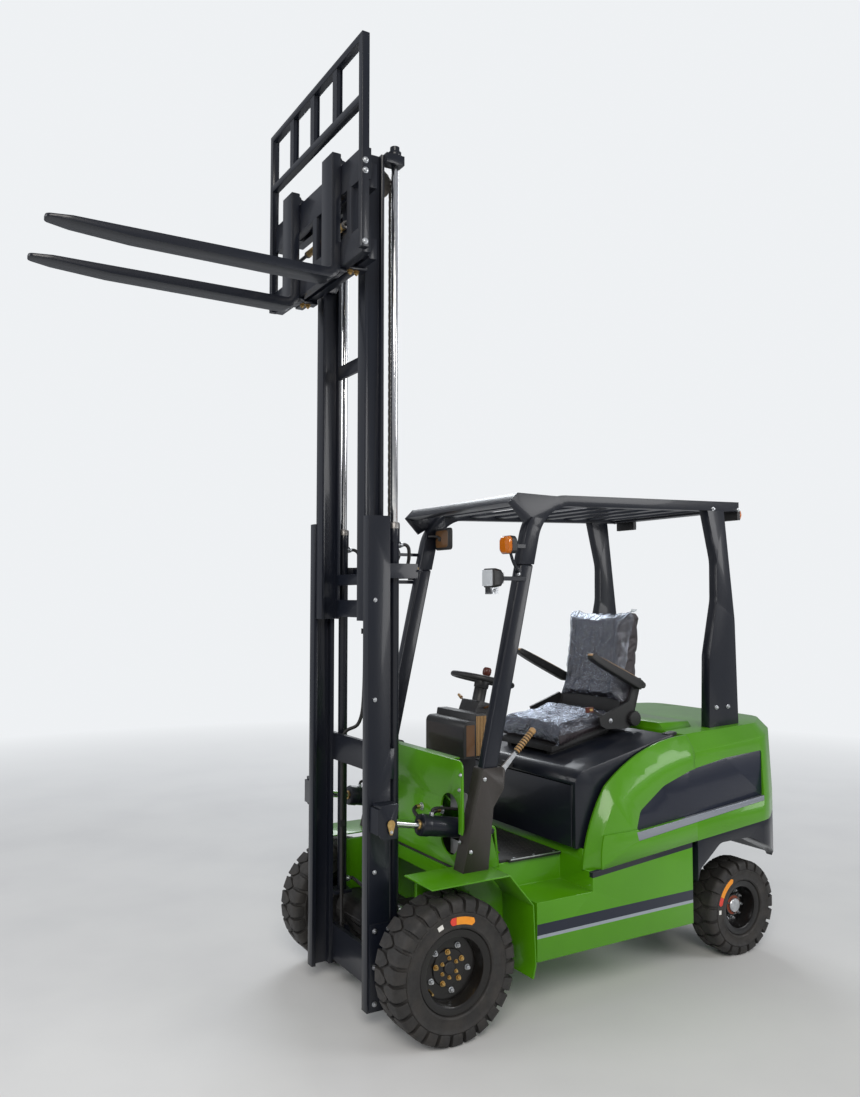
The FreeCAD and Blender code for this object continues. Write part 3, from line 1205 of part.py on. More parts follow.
def fork():
    """The left fork: hooked shank, rounded heel and a blade that thins to a rounded tip."""
    back = FORK_FACE - FORK_THICKNESS
    bottom = FORK_TOP - FORK_THICKNESS
    y = (FORK_INSIDE, FORK_INSIDE + FORK_WIDTH)
    body = prism_y([(back, bottom, 52), (back, FORK_SHANK_TOP, 4), (FORK_FACE, FORK_SHANK_TOP, 4),
                    (FORK_FACE, FORK_TOP, 18), (FORK_TIP, FORK_TOP),
                    (FORK_TIP, FORK_TOP - FORK_TIP_THICKNESS, 5), (FORK_TIP - 300, bottom + 8)], y)
    corner = 34
    plan = prism_z([(back - 1, y[0] - 1), (FORK_TIP - 90, y[0] - 1), (FORK_TIP, y[0] + corner - 12, 22),
                    (FORK_TIP, y[1] - corner + 12, 22), (FORK_TIP - 90, y[1] + 1), (back - 1, y[1] + 1)],
                   (bottom - 1, FORK_TOP + 60))
    shank = block((back - 1, FORK_FACE + 60), (y[0] - 1, y[1] + 1), (bottom - 1, FORK_SHANK_TOP + 1))
    blade = body.common(fuse(plan, shank))
    hook_z = UPPER_BAR_Z[1] + SEAT_GAP
    hook_y = (y[0] + 8, y[1] - 8)
    upper_hook = prism_y([(SHIFTER_X[0] + 4, hook_z), (back + 1, hook_z),
                          (back + 1, hook_z + HOOK_HEIGHT + 10),
                          (SHIFTER_X[0] + 4, hook_z + HOOK_HEIGHT, 6)], hook_y)
    low_z = LOWER_BAR_Z[0] - SEAT_GAP
    lower_hook = prism_y([(SHIFTER_X[0] + 10, low_z), (back + 1, low_z), (back + 1, low_z - HOOK_HEIGHT),
                          (SHIFTER_X[0] + 10, low_z - HOOK_HEIGHT + 6, 4)], hook_y)
    return fuse(blade, upper_hook, lower_hook)


# Tilt cylinders

def tilt_way():
    """The unit vector from the anchor to the pin on the mast, and their distance."""
    x = TILT_PIN[0] - TILT_ANCHOR[0]
    z = TILT_PIN[1] - TILT_ANCHOR[1]
    length = math.hypot(x, z)
    return x / length, z / length, length


def tilt_point(distance, y=TILT_Y):
    """A point on the left cylinder's axis at a distance from its anchor."""
    way_x, way_z, _ = tilt_way()
    return (TILT_ANCHOR[0] + way_x * distance, y, TILT_ANCHOR[1] + way_z * distance)


def tilt_barrels():
    """Both tilt cylinder barrels with their rear eyes and pins."""
    eye = bar_y(TILT_ANCHOR, 24, (TILT_Y - 15, TILT_Y + 15))
    pin = bar_y(TILT_ANCHOR, TILT_ANCHOR_PIN, (TILT_Y - 30, TILT_Y + 30))
    neck = bar_between(tilt_point(10), tilt_point(70), 14)
    body = bar_between(tilt_point(62), tilt_point(TILT_BARREL_LENGTH), TILT_BARREL_RADIUS)
    bore = bar_between(tilt_point(80), tilt_point(TILT_BARREL_LENGTH + 5), TILT_ROD_RADIUS + SEAT_GAP)
    return pair(fuse(eye, pin, neck, body).cut(bore))


def tilt_rods():
    """Both tilt rods with the eye that goes round the pin of the mast."""
    length = tilt_way()[2]
    eye = bar_y(TILT_PIN, TILT_EYE_RADIUS, (TILT_Y - TILT_EYE_WIDTH / 2, TILT_Y + TILT_EYE_WIDTH / 2))
    rod = bar_between(tilt_point(200), tilt_point(length - 10), TILT_ROD_RADIUS)
    hole = bar_y(TILT_PIN, TILT_PIN_RADIUS + TILT_EYE_SLACK, (TILT_Y - 40, TILT_Y + 40))
    return pair(fuse(eye, rod).cut(hole))


PIECES = {
    "chassis": chassis,
    "front_fenders": lambda: pair(fender()),
    "floor_mat": floor_mat,
    "cowl": cowl,
    "battery": battery,
    "drive_axle": drive_axle,
    "steer_axle": steer_axle,
    "counterweight": counterweight,
    "counterweight_skirt": counterweight_skirt,
    "side_covers": lambda: pair(side_cover()),
    "side_panels": lambda: pair(side_inset()),
    "side_strips": lambda: pair(side_strip()),
    "rear_deck": rear_deck,
    "guard_pillars": guard_pillars,
    "guard_roof": guard_roof,
    "guard_rear_legs": lambda: pair(guard_rear_leg()),
    "pillar_boots": lambda: pair(pillar_boot()),
    "console": console,
    "steering_wheel": steering_wheel,
    "control_levers": control_levers,
    "parking_brake": parking_brake,
    "pedals": pedals,
    "head_lamps": head_lamps,
    "turn_lamps": turn_lamps,
    "rear_lamps": rear_lamps,
    "mirror": mirror,
    "hood": hood,
    "front_panel": front_panel,
    "seat_base": seat_base,
    "seat_cushion": seat_cushion,
    "seat_back": seat_back,
    "armrests": lambda: pair(armrest()),
    "outer_mast": outer_mast,
    "lift_barrels": lift_barrels,
    "inner_mast": inner_mast,
    "lift_rods": lift_rods,
    "chain_sheaves": chain_sheaves,
    "anchor_chains": anchor_chains,
    "carriage_chains": carriage_chains,
    "carriage": carriage,
    "shifter_frame": shifter_frame,
    "backrest": backrest,
    "forks": lambda: pair(fork()),
    "tilt_barrels": tilt_barrels,
    "tilt_rods": tilt_rods,
    "front_tyre_left": lambda: tyre("front"),
    "front_tyre_right": lambda: mirrored(tyre("front")),
    "front_rim_left": lambda: rim("front"),
    "front_rim_right": lambda: mirrored(rim("front")),
    "rear_tyre_left": lambda: tyre("rear"),
    "rear_tyre_right": lambda: mirrored(tyre("rear")),
    "rear_rim_left": lambda: rim("rear"),
    "rear_rim_right": lambda: mirrored(rim("rear")),
    "knuckle_left": knuckle,
    "knuckle_right": lambda: mirrored(knuckle()),
}

os.makedirs("parts", exist_ok=True)
for name, make in PIECES.items():
    shape = make()
    shape.translate(vec(AXLE_X, 0, 0))
    if not shape.isValid():
        print("not valid:", name)
    shape.exportStep("parts/" + name + ".step")
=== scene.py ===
"""An electric counterbalance forklift with its mast raised: its finishes, soft parts and small fittings.

Places are in metres from the front axle: x forwards, y to the left, z up from the floor.
A finished piece is moved along x by SHIFT, which the front tyre's box gives.
"""
import math

import bmesh
import bpy
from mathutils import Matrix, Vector, noise
from mathutils.bvhtree import BVHTree


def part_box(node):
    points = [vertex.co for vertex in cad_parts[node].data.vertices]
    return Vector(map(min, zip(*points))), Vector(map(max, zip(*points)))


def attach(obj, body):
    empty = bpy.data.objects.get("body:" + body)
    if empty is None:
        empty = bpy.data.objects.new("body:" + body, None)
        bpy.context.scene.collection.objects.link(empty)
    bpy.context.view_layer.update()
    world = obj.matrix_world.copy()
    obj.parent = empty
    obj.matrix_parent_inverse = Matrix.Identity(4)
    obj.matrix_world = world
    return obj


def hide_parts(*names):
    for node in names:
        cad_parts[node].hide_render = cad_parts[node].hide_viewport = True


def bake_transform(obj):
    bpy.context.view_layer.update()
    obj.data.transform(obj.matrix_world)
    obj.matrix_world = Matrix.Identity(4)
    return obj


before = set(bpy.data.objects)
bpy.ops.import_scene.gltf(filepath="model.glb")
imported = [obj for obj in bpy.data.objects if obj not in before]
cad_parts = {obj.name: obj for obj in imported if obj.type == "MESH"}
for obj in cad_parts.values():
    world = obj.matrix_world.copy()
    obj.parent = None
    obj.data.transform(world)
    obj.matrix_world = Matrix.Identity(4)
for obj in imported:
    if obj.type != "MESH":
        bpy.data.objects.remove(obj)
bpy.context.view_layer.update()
tyre_low, tyre_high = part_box("front_tyre_left")
SHIFT = Vector(((tyre_low.x + tyre_high.x) / 2, 0, 0))
SIDES = {"left": 1, "right": -1}
SMOOTH_ANGLE = math.radians(38)

# The photograph's camera: its place, its turn from +X, its rise above the horizon and its focal length
CAMERA_PLACE = (1.929, 3.588, 1.703)
CAMERA_TURN = -120.83
CAMERA_RISE = 3.17
FOCAL_PIXELS = 917.3
PHOTO_HEIGHT = 1097
SENSOR = 36

# The backdrop's colour, and the distances between which the floor fades into it
BACKDROP = (0.86, 0.88, 0.90)
FLOOR_FADE = (3.6, 9.0)


def near(node):
    """The lowest and highest corners of a CAD node, from the front axle."""
    low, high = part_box(node)
    return low - SHIFT, high - SHIFT


# Materials

class Surface:
    """A material being made: its shader and the textures that lead to it."""

    def __init__(self, name, colour, roughness, metallic=0.0, **sockets):
        self.material = bpy.data.materials.new(name)
        self.material.use_nodes = True
        self.tree = self.material.node_tree
        self.shader = self.tree.nodes["Principled BSDF"]
        self.colour = colour
        self.roughness = roughness
        self.shader.inputs["Base Color"].default_value = (*colour, 1)
        self.shader.inputs["Roughness"].default_value = roughness
        self.shader.inputs["Metallic"].default_value = metallic
        for key, value in sockets.items():
            self.shader.inputs[key.replace("_", " ")].default_value = value

    def node(self, kind, **settings):
        made = self.tree.nodes.new(kind)
        for key, value in settings.items():
            setattr(made, key, value)
        return made

    def link(self, source, target):
        self.tree.links.new(source, target)

    def place(self):
        """The point of the surface in the piece's own frame."""
        return self.node("ShaderNodeTexCoord").outputs["Object"]

    def texture(self, kind, output, **settings):
        """One output of a texture laid by the point of the surface."""
        made = self.node("ShaderNodeTex" + kind)
        for key, value in settings.items():
            made.inputs[key].default_value = value
        self.link(self.place(), made.inputs["Vector"])
        return made.outputs[output]

    def noise(self, scale, detail, distortion=0.0):
        """Noise of so many blobs a metre, from 0 to 1."""
        return self.texture("Noise", "Fac", Scale=scale, Detail=detail, Distortion=distortion)

    def ramp(self, value, low, high, start=0.0, end=1.0):
        """value taken from the range low to high to the range start to end, held at its ends."""
        made = self.node("ShaderNodeMapRange")
        for key, amount in zip(("From Min", "From Max", "To Min", "To Max"), (low, high, start, end)):
            made.inputs[key].default_value = amount
        self.link(value, made.inputs["Value"])
        return made.outputs["Result"]

    def patches(self, scale, detail, low, high, most=1.0):
        """Soft patches, so many a metre: noise taken from low and high to 0 and most."""
        return self.ramp(self.noise(scale, detail), low, high, 0.0, most)

    def combine(self, operation, first, second):
        made = self.node("ShaderNodeMath", operation=operation)
        for i, value in enumerate((first, second)):
            if isinstance(value, (int, float)):
                made.inputs[i].default_value = value
            else:
                self.link(value, made.inputs[i])
        return made.outputs["Value"]

    def times(self, first, second):
        return self.combine("MULTIPLY", first, second)

    def axis(self, name, vector=None):
        """One coordinate of a vector, or of the point in metres in the frame."""
        split = self.node("ShaderNodeSeparateXYZ")
        self.link(vector or self.place(), split.inputs["Vector"])
        return split.outputs[name]

    def upward(self):
        """How far the surface faces up, from -1 to 1."""
        return self.axis("Z", self.node("ShaderNodeNewGeometry").outputs["Normal"])

    def mixed(self, socket, kind, first, second, share):
        """Takes what a socket of the shader is given towards a second value by share."""
        target = self.shader.inputs[socket]
        mix = self.node("ShaderNodeMix", data_type=kind)
        if target.is_linked:
            self.link(target.links[0].from_socket, mix.inputs["A"])
        else:
            mix.inputs["A"].default_value = first
        mix.inputs["B"].default_value = second
        self.link(share, mix.inputs["Factor"])
        self.link(mix.outputs["Result"], target)

    def colours(self, share, second):
        self.mixed("Base Color", "RGBA", (*self.colour, 1), (*second, 1), share)

    def rough(self, share, second):
        self.mixed("Roughness", "FLOAT", self.roughness, second, share)

    def bump(self, height, depth, coat=False):
        """Raises the surface by height times depth, in metres."""
        target = self.shader.inputs["Normal"]
        made = self.node("ShaderNodeBump")
        made.inputs["Distance"].default_value = depth
        self.link(height, made.inputs["Height"])
        if target.is_linked:
            self.link(target.links[0].from_socket, made.inputs["Normal"])
        self.link(made.outputs["Normal"], target)
        if coat:
            self.link(made.outputs["Normal"], self.shader.inputs["Coat Normal"])

    def layered(self, share, first, second):
        """Shows the outputs of two shaders, mixed by share."""
        mix = self.node("ShaderNodeMixShader")
        for socket, value in zip(mix.inputs, (share, first, second)):
            self.link(value, socket)
        self.link(mix.outputs["Shader"], self.tree.nodes["Material Output"].inputs["Surface"])


def gloss_paint(name, colour, second, dust=0.03, coat=0.35):
    """Sprayed paint under lacquer: a little uneven, faintly rippled, with a film of dust where it faces up."""
    s = Surface(name, colour, 0.34, Coat_Weight=coat, Coat_Roughness=0.07, Specular_IOR_Level=0.3)
    s.colours(s.patches(2.2, 4, 0.35, 0.7), second)
    s.bump(s.noise(160, 2), 0.00002, coat=True)
    film = s.times(s.ramp(s.upward(), 0.3, 1.0), s.patches(7, 6, 0.4, 0.75))
    film = s.times(film, dust)
    s.colours(film, (0.42, 0.40, 0.35))
    s.rough(film, 0.8)
    return s


GREEN_COLOURS = ((0.078, 0.285, 0.002), (0.066, 0.245, 0.002))
# The lower body's navy stripe and its grey line as ranges of height, the x where they start and the y of the side
STRIPE_NAVY = (0.350, 0.394)
STRIPE_GREY = (0.337, 0.350)
STRIPE_START = -0.375
STRIPE_SIDE = 0.5695
# The line where the lower body meets the covers: the x where it starts, its height there and its rise a metre
BELT_START = -0.667
BELT_HEIGHT = 0.556
BELT_RISE = 0.08098
BELT_SHADE = 0.0218
BELT_SIDE = 0.5500


def striped_green():
    """Green paint with the stripe and its grey line along the lower body, and a dark line below the covers."""
    s = gloss_paint("green_paint_striped", *GREEN_COLOURS)
    height = s.axis("Z")
    outward = s.combine("ABSOLUTE", s.axis("Y"), 0.0)

    def behind(x):
        return s.ramp(s.axis("X"), SHIFT.x + x + 0.001, SHIFT.x + x)

    side = s.times(s.ramp(outward, STRIPE_SIDE, STRIPE_SIDE + 0.0005), behind(STRIPE_START))
    for (low, high), colour in ((STRIPE_NAVY, (0.012, 0.016, 0.032)), (STRIPE_GREY, (0.30, 0.33, 0.38))):
        over = s.ramp(height, low - 0.0004, low + 0.0004)
        under = s.ramp(height, high + 0.0004, high - 0.0004)
        s.colours(s.times(s.times(over, under), side), colour)
    belt = s.ramp(s.axis("X"), SHIFT.x + BELT_START, SHIFT.x + BELT_START - 1, BELT_HEIGHT, BELT_HEIGHT + BELT_RISE)
    below = s.combine("SUBTRACT", belt, height)
    outer = s.ramp(outward, BELT_SIDE, BELT_SIDE + 0.001)
    dark = s.times(s.ramp(below, BELT_SHADE + 0.0008, BELT_SHADE), outer)
    s.colours(s.times(dark, behind(BELT_START)), (0.010, 0.012, 0.018))
    return s.material


def grey_paint():
    s = gloss_paint("grey_paint", (0.27, 0.29, 0.33), (0.24, 0.26, 0.30), dust=0.1)
    s.shader.inputs["Metallic"].default_value = 0.35
    return s.material


def chassis_paint():
    """Satin black paint under the truck, dusty in patches."""
    s = Surface("chassis_paint", (0.010, 0.010, 0.011), 0.5)
    s.colours(s.patches(9, 6, 0.45, 0.8, 0.35), (0.07, 0.062, 0.05))
    s.bump(s.noise(240, 3), 0.00008)
    return s.material


def moulded_plastic(name="black_plastic", colour=(0.014, 0.014, 0.015), roughness=0.45, grain=0.00012):
    """Moulded plastic with a fine leather grain."""
    s = Surface(name, colour, roughness)
    s.rough(s.patches(14, 4, 0.4, 0.7, 0.5), roughness + 0.18)
    s.bump(s.texture("Voronoi", "Distance", Scale=420), grain)
    return s.material


def tyre_rubber():
    """Black rubber with a faint brown bloom and dust."""
    s = Surface("tyre_rubber", (0.018, 0.017, 0.0165), 0.62)
    s.colours(s.patches(16, 6, 0.42, 0.75, 0.55), (0.048, 0.041, 0.035))
    s.colours(s.patches(3, 2, 0.5, 0.8, 0.3), (0.06, 0.055, 0.05))
    s.rough(s.patches(40, 3, 0.4, 0.7), 0.8)
    s.bump(s.noise(420, 4), 0.00022)
    return s.material


def mat_rubber():
    """Dusty rubber of the floor mat."""
    s = Surface("mat_rubber", (0.014, 0.014, 0.014), 0.6)
    s.colours(s.patches(11, 6, 0.4, 0.75, 0.5), (0.05, 0.045, 0.038))
    s.bump(s.noise(500, 3), 0.0002)
    return s.material


def metal(name, colour, roughness, second):
    """Bare or plated metal, a little uneven."""
    s = Surface(name, colour, roughness, metallic=1.0)
    s.colours(s.patches(60, 4, 0.4, 0.7), second)
    s.rough(s.patches(180, 4, 0.35, 0.75, 0.6), roughness + 0.25)
    s.bump(s.noise(700, 2), 0.00001)
    return s.material


def oily_steel():
    """Dark greased steel of the chains and rollers."""
    s = Surface("oily_steel", (0.045, 0.040, 0.034), 0.36, metallic=0.8)
    s.colours(s.patches(70, 5, 0.45, 0.7), (0.015, 0.013, 0.011))
    s.rough(s.patches(120, 4, 0.4, 0.7), 0.6)
    return s.material


def rust_primer():
    """Rust-red primer of the rear hubs."""
    s = Surface("rust_primer", (0.24, 0.045, 0.016), 0.7)
    s.colours(s.patches(90, 6, 0.45, 0.75), (0.12, 0.028, 0.012))
    s.bump(s.noise(500, 4), 0.0003)
    return s.material


def clear_film():
    """Thin clear film: it mirrors its surroundings in many small creases and shows the seat through it."""
    s = Surface("clear_film", (0.80, 0.83, 0.88), 0.10, IOR=1.45)
    s.bump(s.noise(46, 5, distortion=1.6), 0.0050)
    s.bump(s.noise(150, 3, distortion=0.8), 0.0012)
    creased = s.shader.inputs["Normal"].links[0].from_socket
    through = s.node("ShaderNodeBsdfTransparent")
    through.inputs["Color"].default_value = (0.86, 0.88, 0.90, 1)
    gloss = s.node("ShaderNodeBsdfGlossy")
    gloss.inputs["Color"].default_value = (0.52, 0.56, 0.64, 1)
    gloss.inputs["Roughness"].default_value = 0.13
    edge = s.node("ShaderNodeLayerWeight")
    edge.inputs["Blend"].default_value = 0.45
    for made in (gloss, edge):
        s.link(creased, made.inputs["Normal"])
    share = s.ramp(edge.outputs["Facing"], 0.05, 0.9, 0.12, 0.75)
    s.layered(share, through.outputs["BSDF"], gloss.outputs["BSDF"])
    return s.material


def seat_leather():
    """Dark plum-grey vinyl with a soft grain."""
    s = Surface("seat_leather", (0.050, 0.041, 0.046), 0.5)
    s.colours(s.patches(7, 4, 0.4, 0.7), (0.036, 0.030, 0.035))
    s.bump(s.texture("Voronoi", "Distance", Scale=600), 0.0002)
    return s.material


def lens(name, colour):
    """Clear or coloured lamp plastic, moulded in small ridges."""
    s = Surface(name, colour, 0.06, IOR=1.49, Coat_Weight=0.5, Transmission_Weight=0.35)
    s.bump(s.texture("Wave", "Fac", Scale=60), 0.0004)
    return s.material


def plain(name, colour, roughness=0.5):
    """A printed or moulded colour with a little unevenness."""
    s = Surface(name, colour, roughness)
    s.colours(s.patches(60, 4, 0.45, 0.8, 0.5), tuple(c * 0.7 for c in colour))
    return s.material


GREEN = gloss_paint("green_paint", *GREEN_COLOURS).material
STRIPED = striped_green()
DARK = gloss_paint("dark_paint", (0.0070, 0.0092, 0.0160), (0.0105, 0.0120, 0.0175), 0.04, 0.2).material
NAVY = gloss_paint("navy_paint", (0.0055, 0.0085, 0.021), (0.0075, 0.011, 0.025)).material
GREY = grey_paint()
UNDER = chassis_paint()
GLOSS = gloss_paint("console_gloss", (0.012, 0.011, 0.015), (0.032, 0.022, 0.016)).material
# Painted light: dark gloss plastic in the warm bronze it shows where low sunlight falls on it
SUNLIT_BRONZE = gloss_paint("painted_sunlit_bronze", (0.105, 0.050, 0.020), (0.15, 0.075, 0.028)).material
RIM = gloss_paint("rim_paint", (0.004, 0.004, 0.005), (0.008, 0.007, 0.006)).material
PRIMER = rust_primer()
PLASTIC = moulded_plastic()
# Partly painted light: the boots' brown-grey is made lighter towards how their sunlit side looks
BOOT = moulded_plastic("boot_plastic", (0.036, 0.031, 0.028), 0.5)
HOSE = moulded_plastic("hose_rubber", (0.016, 0.015, 0.015), 0.42, 0.00005)
BELT = moulded_plastic("belt_webbing", (0.020, 0.020, 0.022), 0.7, 0.0003)
RUBBER = tyre_rubber()
MAT = mat_rubber()
LEATHER = seat_leather()
FILM = clear_film()
CHROME = metal("chrome", (0.80, 0.80, 0.80), 0.10, (0.70, 0.71, 0.73))
ZINC = metal("zinc", (0.62, 0.64, 0.66), 0.32, (0.45, 0.46, 0.48))
BRASS = metal("brass", (0.62, 0.43, 0.17), 0.34, (0.42, 0.27, 0.10))
STEEL = metal("worn_steel", (0.30, 0.29, 0.28), 0.4, (0.17, 0.16, 0.15))
GLASS = metal("mirror_glass", (0.80, 0.78, 0.75), 0.03, (0.75, 0.74, 0.72))
GLASS_DARK = metal("dark_screen", (0.05, 0.06, 0.07), 0.06, (0.04, 0.05, 0.06))
OILY = oily_steel()
AMBER = lens("amber_lens", (0.85, 0.22, 0.01))
RED = lens("red_lens", (0.55, 0.01, 0.008))
CLEAR = lens("clear_lens", (0.82, 0.86, 0.90))
ORANGE = plain("orange_label", (0.85, 0.30, 0.015))
LABEL_RED = plain("red_label", (0.70, 0.05, 0.03))
WHITE = plain("white_label", (0.75, 0.74, 0.70))
# Painted light: the tan that dark plastic shows where low warm sunlight falls on it
SUNLIT_TAN = plain("painted_sunlit_tan", (0.42, 0.25, 0.10), 0.42)
OXBLOOD = plain("oxblood_knob", (0.10, 0.022, 0.012), 0.3)
AMBER_PLAIN = plain("amber_button", (0.80, 0.26, 0.02), 0.3)
PLATE_GREY = plain("light_grey_plate", (0.30, 0.30, 0.32), 0.4)


# Meshes

class Mesh:
    """A mesh gathered from simple forms, in metres from the front axle. place() makes it a piece."""

    def __init__(self, material):
        self.material = material
        self.points = []
        self.faces = []
        self.kinds = []

    def add(self, points, faces, material=None):
        first = len(self.points)
        self.points += [Vector(p) for p in points]
        self.faces += [[first + i for i in face] for face in faces]
        self.kinds += [material or self.material] * len(faces)
        return self

    def block(self, x, y, z, material=None):
        """A box from its ranges."""
        faces = [(0, 1, 3, 2), (4, 6, 7, 5), (0, 4, 5, 1), (2, 3, 7, 6), (0, 2, 6, 4), (1, 5, 7, 3)]
        return self.add([(a, b, c) for a in x for b in y for c in z], faces, material)

    def rings(self, rings, material=None, ends=True):
        """A skin over rings of points; a ring whose points meet makes a tip, and ends closes the others."""
        count = len(rings[0])
        points = [p for ring in rings for p in ring]
        tips = [(Vector(ring[0]) - Vector(ring[count // 2])).length < 1e-7 for ring in rings]
        faces = []
        for i in range(len(rings) - 1):
            here = i * count
            there = here + count
            for j in range(count):
                k = (j + 1) % count
                if tips[i]:
                    faces.append((here, there + k, there + j))
                elif tips[i + 1]:
                    faces.append((here + j, here + k, there))
                else:
                    faces.append((here + j, here + k, there + k, there + j))
        if ends:
            faces += [] if tips[0] else [tuple(range(count))[::-1]]
            faces += [] if tips[-1] else [tuple(range(len(points) - count, len(points)))]
        return self.add(points, faces, material)

    def turned(self, profile, centre, axis=(0, 1, 0), steps=48, material=None, ends=True):
        """A profile of (radius, distance along the axis) turned about the axis."""
        axis = Vector(axis).normalized()
        side = axis.orthogonal().normalized()
        up = axis.cross(side)
        rings = []
        for radius, along in profile:
            ring = []
            for i in range(steps):
                angle = 2 * math.pi * i / steps
                way = side * math.cos(angle) + up * math.sin(angle)
                ring.append(Vector(centre) + axis * along + way * radius)
            rings.append(ring)
        return self.rings(rings, material, ends)

    def bar(self, start, end, radius, sides=20, material=None, far_radius=None):
        """A round bar, or a cone, between two points."""
        along = Vector(end) - Vector(start)
        far = radius if far_radius is None else far_radius
        return self.turned([(radius, 0), (far, along.length)], start, along, sides, material)

    def nut(self, centre, axis, radius, height, material=None, bolt=True):
        """A hexagon nut on its washer, with the bolt's end standing out."""
        self.turned([(radius * 1.25, 0), (radius * 1.25, height * 0.18)], centre, axis, 20, material)
        self.turned([(radius, 0), (radius, height * 0.9), (radius * 0.88, height)], centre, axis, 6, material)
        if bolt:
            self.turned([(radius * 0.5, 0), (radius * 0.5, height * 1.5)], centre, axis, 12, material)
        return self

    def push(self, outline, way, material=None):
        """A flat outline of points pushed along way."""
        return self.rings([[Vector(p) for p in outline], [Vector(p) + Vector(way) for p in outline]], material)

    def push_y(self, outline, y, material=None):
        """An outline of (x, z) pushed from one y to another."""
        return self.push([(a, y[0], b) for a, b in outline], (0, y[1] - y[0], 0), material)

    def tube(self, points, radius, sides=12, material=None, bends=6):
        """A tube along a smooth line through points."""
        line = smooth_line([Vector(p) for p in points], bends)
        rings = []
        side = (line[1] - line[0]).orthogonal().normalized()
        for i, here in enumerate(line):
            ahead = line[min(i + 1, len(line) - 1)]
            back = line[max(i - 1, 0)]
            along = (ahead - back).normalized()
            side = (side - along * side.dot(along)).normalized()
            up = along.cross(side)
            rings.append([here + (side * math.cos(a) + up * math.sin(a)) * radius
                          for a in (2 * math.pi * j / sides for j in range(sides))])
        return self.rings(rings, material)

    def mirror(self):
        """Adds the mirror image in the middle plane."""
        first = len(self.points)
        self.points += [Vector((p.x, -p.y, p.z)) for p in self.points]
        self.faces += [[first + i for i in face][::-1] for face in self.faces]
        self.kinds += list(self.kinds)
        return self

    def place(self, name, body, bevel=0.0, slot=None, replaces=(), subdivide=0, angle=SMOOTH_ANGLE, ride=True):
        """Makes the piece, its edges rounded by bevel, and lets it ride on its body."""
        mesh = bpy.data.meshes.new(name)
        mesh.from_pydata([p + SHIFT for p in self.points], [], self.faces)
        kinds = list(dict.fromkeys(self.kinds))
        for kind in kinds:
            mesh.materials.append(kind)
        mesh.polygons.foreach_set("material_index", [kinds.index(k) for k in self.kinds])
        bm = bmesh.new()
        bm.from_mesh(mesh)
        bmesh.ops.delete(bm, geom=[v for v in bm.verts if not v.link_faces], context="VERTS")
        bmesh.ops.recalc_face_normals(bm, faces=bm.faces)
        bm.to_mesh(mesh)
        bm.free()
        mesh.shade_smooth()
        mesh.set_sharp_from_angle(angle=angle)
        piece = bpy.data.objects.new(name, mesh)
        bpy.context.scene.collection.objects.link(piece)
        if bevel:
            round_edges(piece, bevel)
        if subdivide:
            piece.modifiers.new("subdivision", "SUBSURF").levels = subdivide
            piece.modifiers["subdivision"].render_levels = subdivide
        if ride:
            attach(piece, body)
        if replaces:
            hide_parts(*replaces)
        return piece


def round_edges(piece, width, segments=2, angle=SMOOTH_ANGLE):
    bevel = piece.modifiers.new("rounded edges", "BEVEL")
    bevel.width = width
    bevel.segments = segments
    bevel.limit_method = "ANGLE"
    bevel.angle_limit = angle
    bevel.harden_normals = True
    bevel.miter_outer = "MITER_ARC"


def smooth_line(points, bends):
    """Points of a smooth line through the given ones, bends to a span."""
    if len(points) < 3:
        return points
    ends = [points[0] * 2 - points[1]] + points + [points[-1] * 2 - points[-2]]
    line = []
    for i in range(1, len(ends) - 2):
        a, b, c, d = ends[i - 1:i + 3]
        for j in range(bends):
            t = j / bends
            line.append(0.5 * (2 * b + (c - a) * t + (2 * a - 5 * b + 4 * c - d) * t ** 2
                               + (3 * b - a - 3 * c + d) * t ** 3))
    return line + [points[-1]]


# The CAD nodes that show as they are

# Each material: its nodes and the widths of their rounded edges
DRESS = {
    STRIPED: {"chassis": 0.004},
    GREEN: {"front_fenders": 0.002, "cowl": 0.002, "counterweight": 0.010, "side_covers": 0.006,
            "rear_deck": 0.008},
    UNDER: {"battery": 0.004, "drive_axle": 0.003, "steer_axle": 0.004, "knuckle_left": 0.003,
            "knuckle_right": 0.003},
    DARK: {"counterweight_skirt": 0.008, "front_panel": 0.004, "guard_pillars": 0.010, "guard_roof": 0.005,
           "guard_rear_legs": 0.010, "hood": 0.010, "outer_mast": 0.0025, "lift_barrels": 0.001,
           "inner_mast": 0.0025, "carriage": 0.003, "shifter_frame": 0.003, "backrest": 0.002, "forks": 0.005,
           "tilt_barrels": 0.002},
    NAVY: {"side_panels": 0.004},
    GREY: {"side_strips": 0.0015},
    BOOT: {"pillar_boots": 0.010},
    MAT: {"floor_mat": 0.003},
    PLASTIC: {"console": 0.012, "steering_wheel": 0.002, "control_levers": 0.001, "pedals": 0.002,
              "head_lamps": 0.002, "mirror": 0.003, "parking_brake": 0.001, "seat_base": 0.002, "armrests": 0.008},
    LEATHER: {"seat_cushion": 0.010, "seat_back": 0.010},
    AMBER: {"turn_lamps": 0.002},
    RED: {"rear_lamps": 0.002},
    CHROME: {"lift_rods": 0.001, "tilt_rods": 0.001},
    OILY: {"chain_sheaves": 0.001, "anchor_chains": 0.0, "carriage_chains": 0.0},
    RUBBER: {f"{kind}_tyre_{name}": 0.003 for kind in ("front", "rear") for name in SIDES},
    RIM: {f"{kind}_rim_{name}": 0.003 for kind in ("front", "rear") for name in SIDES},
}


def dress_nodes():
    """Gives each CAD node its material, joined faces and rounded edges."""
    for material, nodes in DRESS.items():
        for name, width in nodes.items():
            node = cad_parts[name]
            node.data.materials.clear()
            node.data.materials.append(material)
            node.data.shade_smooth()
            node.modifiers.new("joined faces", "WELD").merge_threshold = 0.00002
            if width:
                round_edges(node, width)


# Wheels

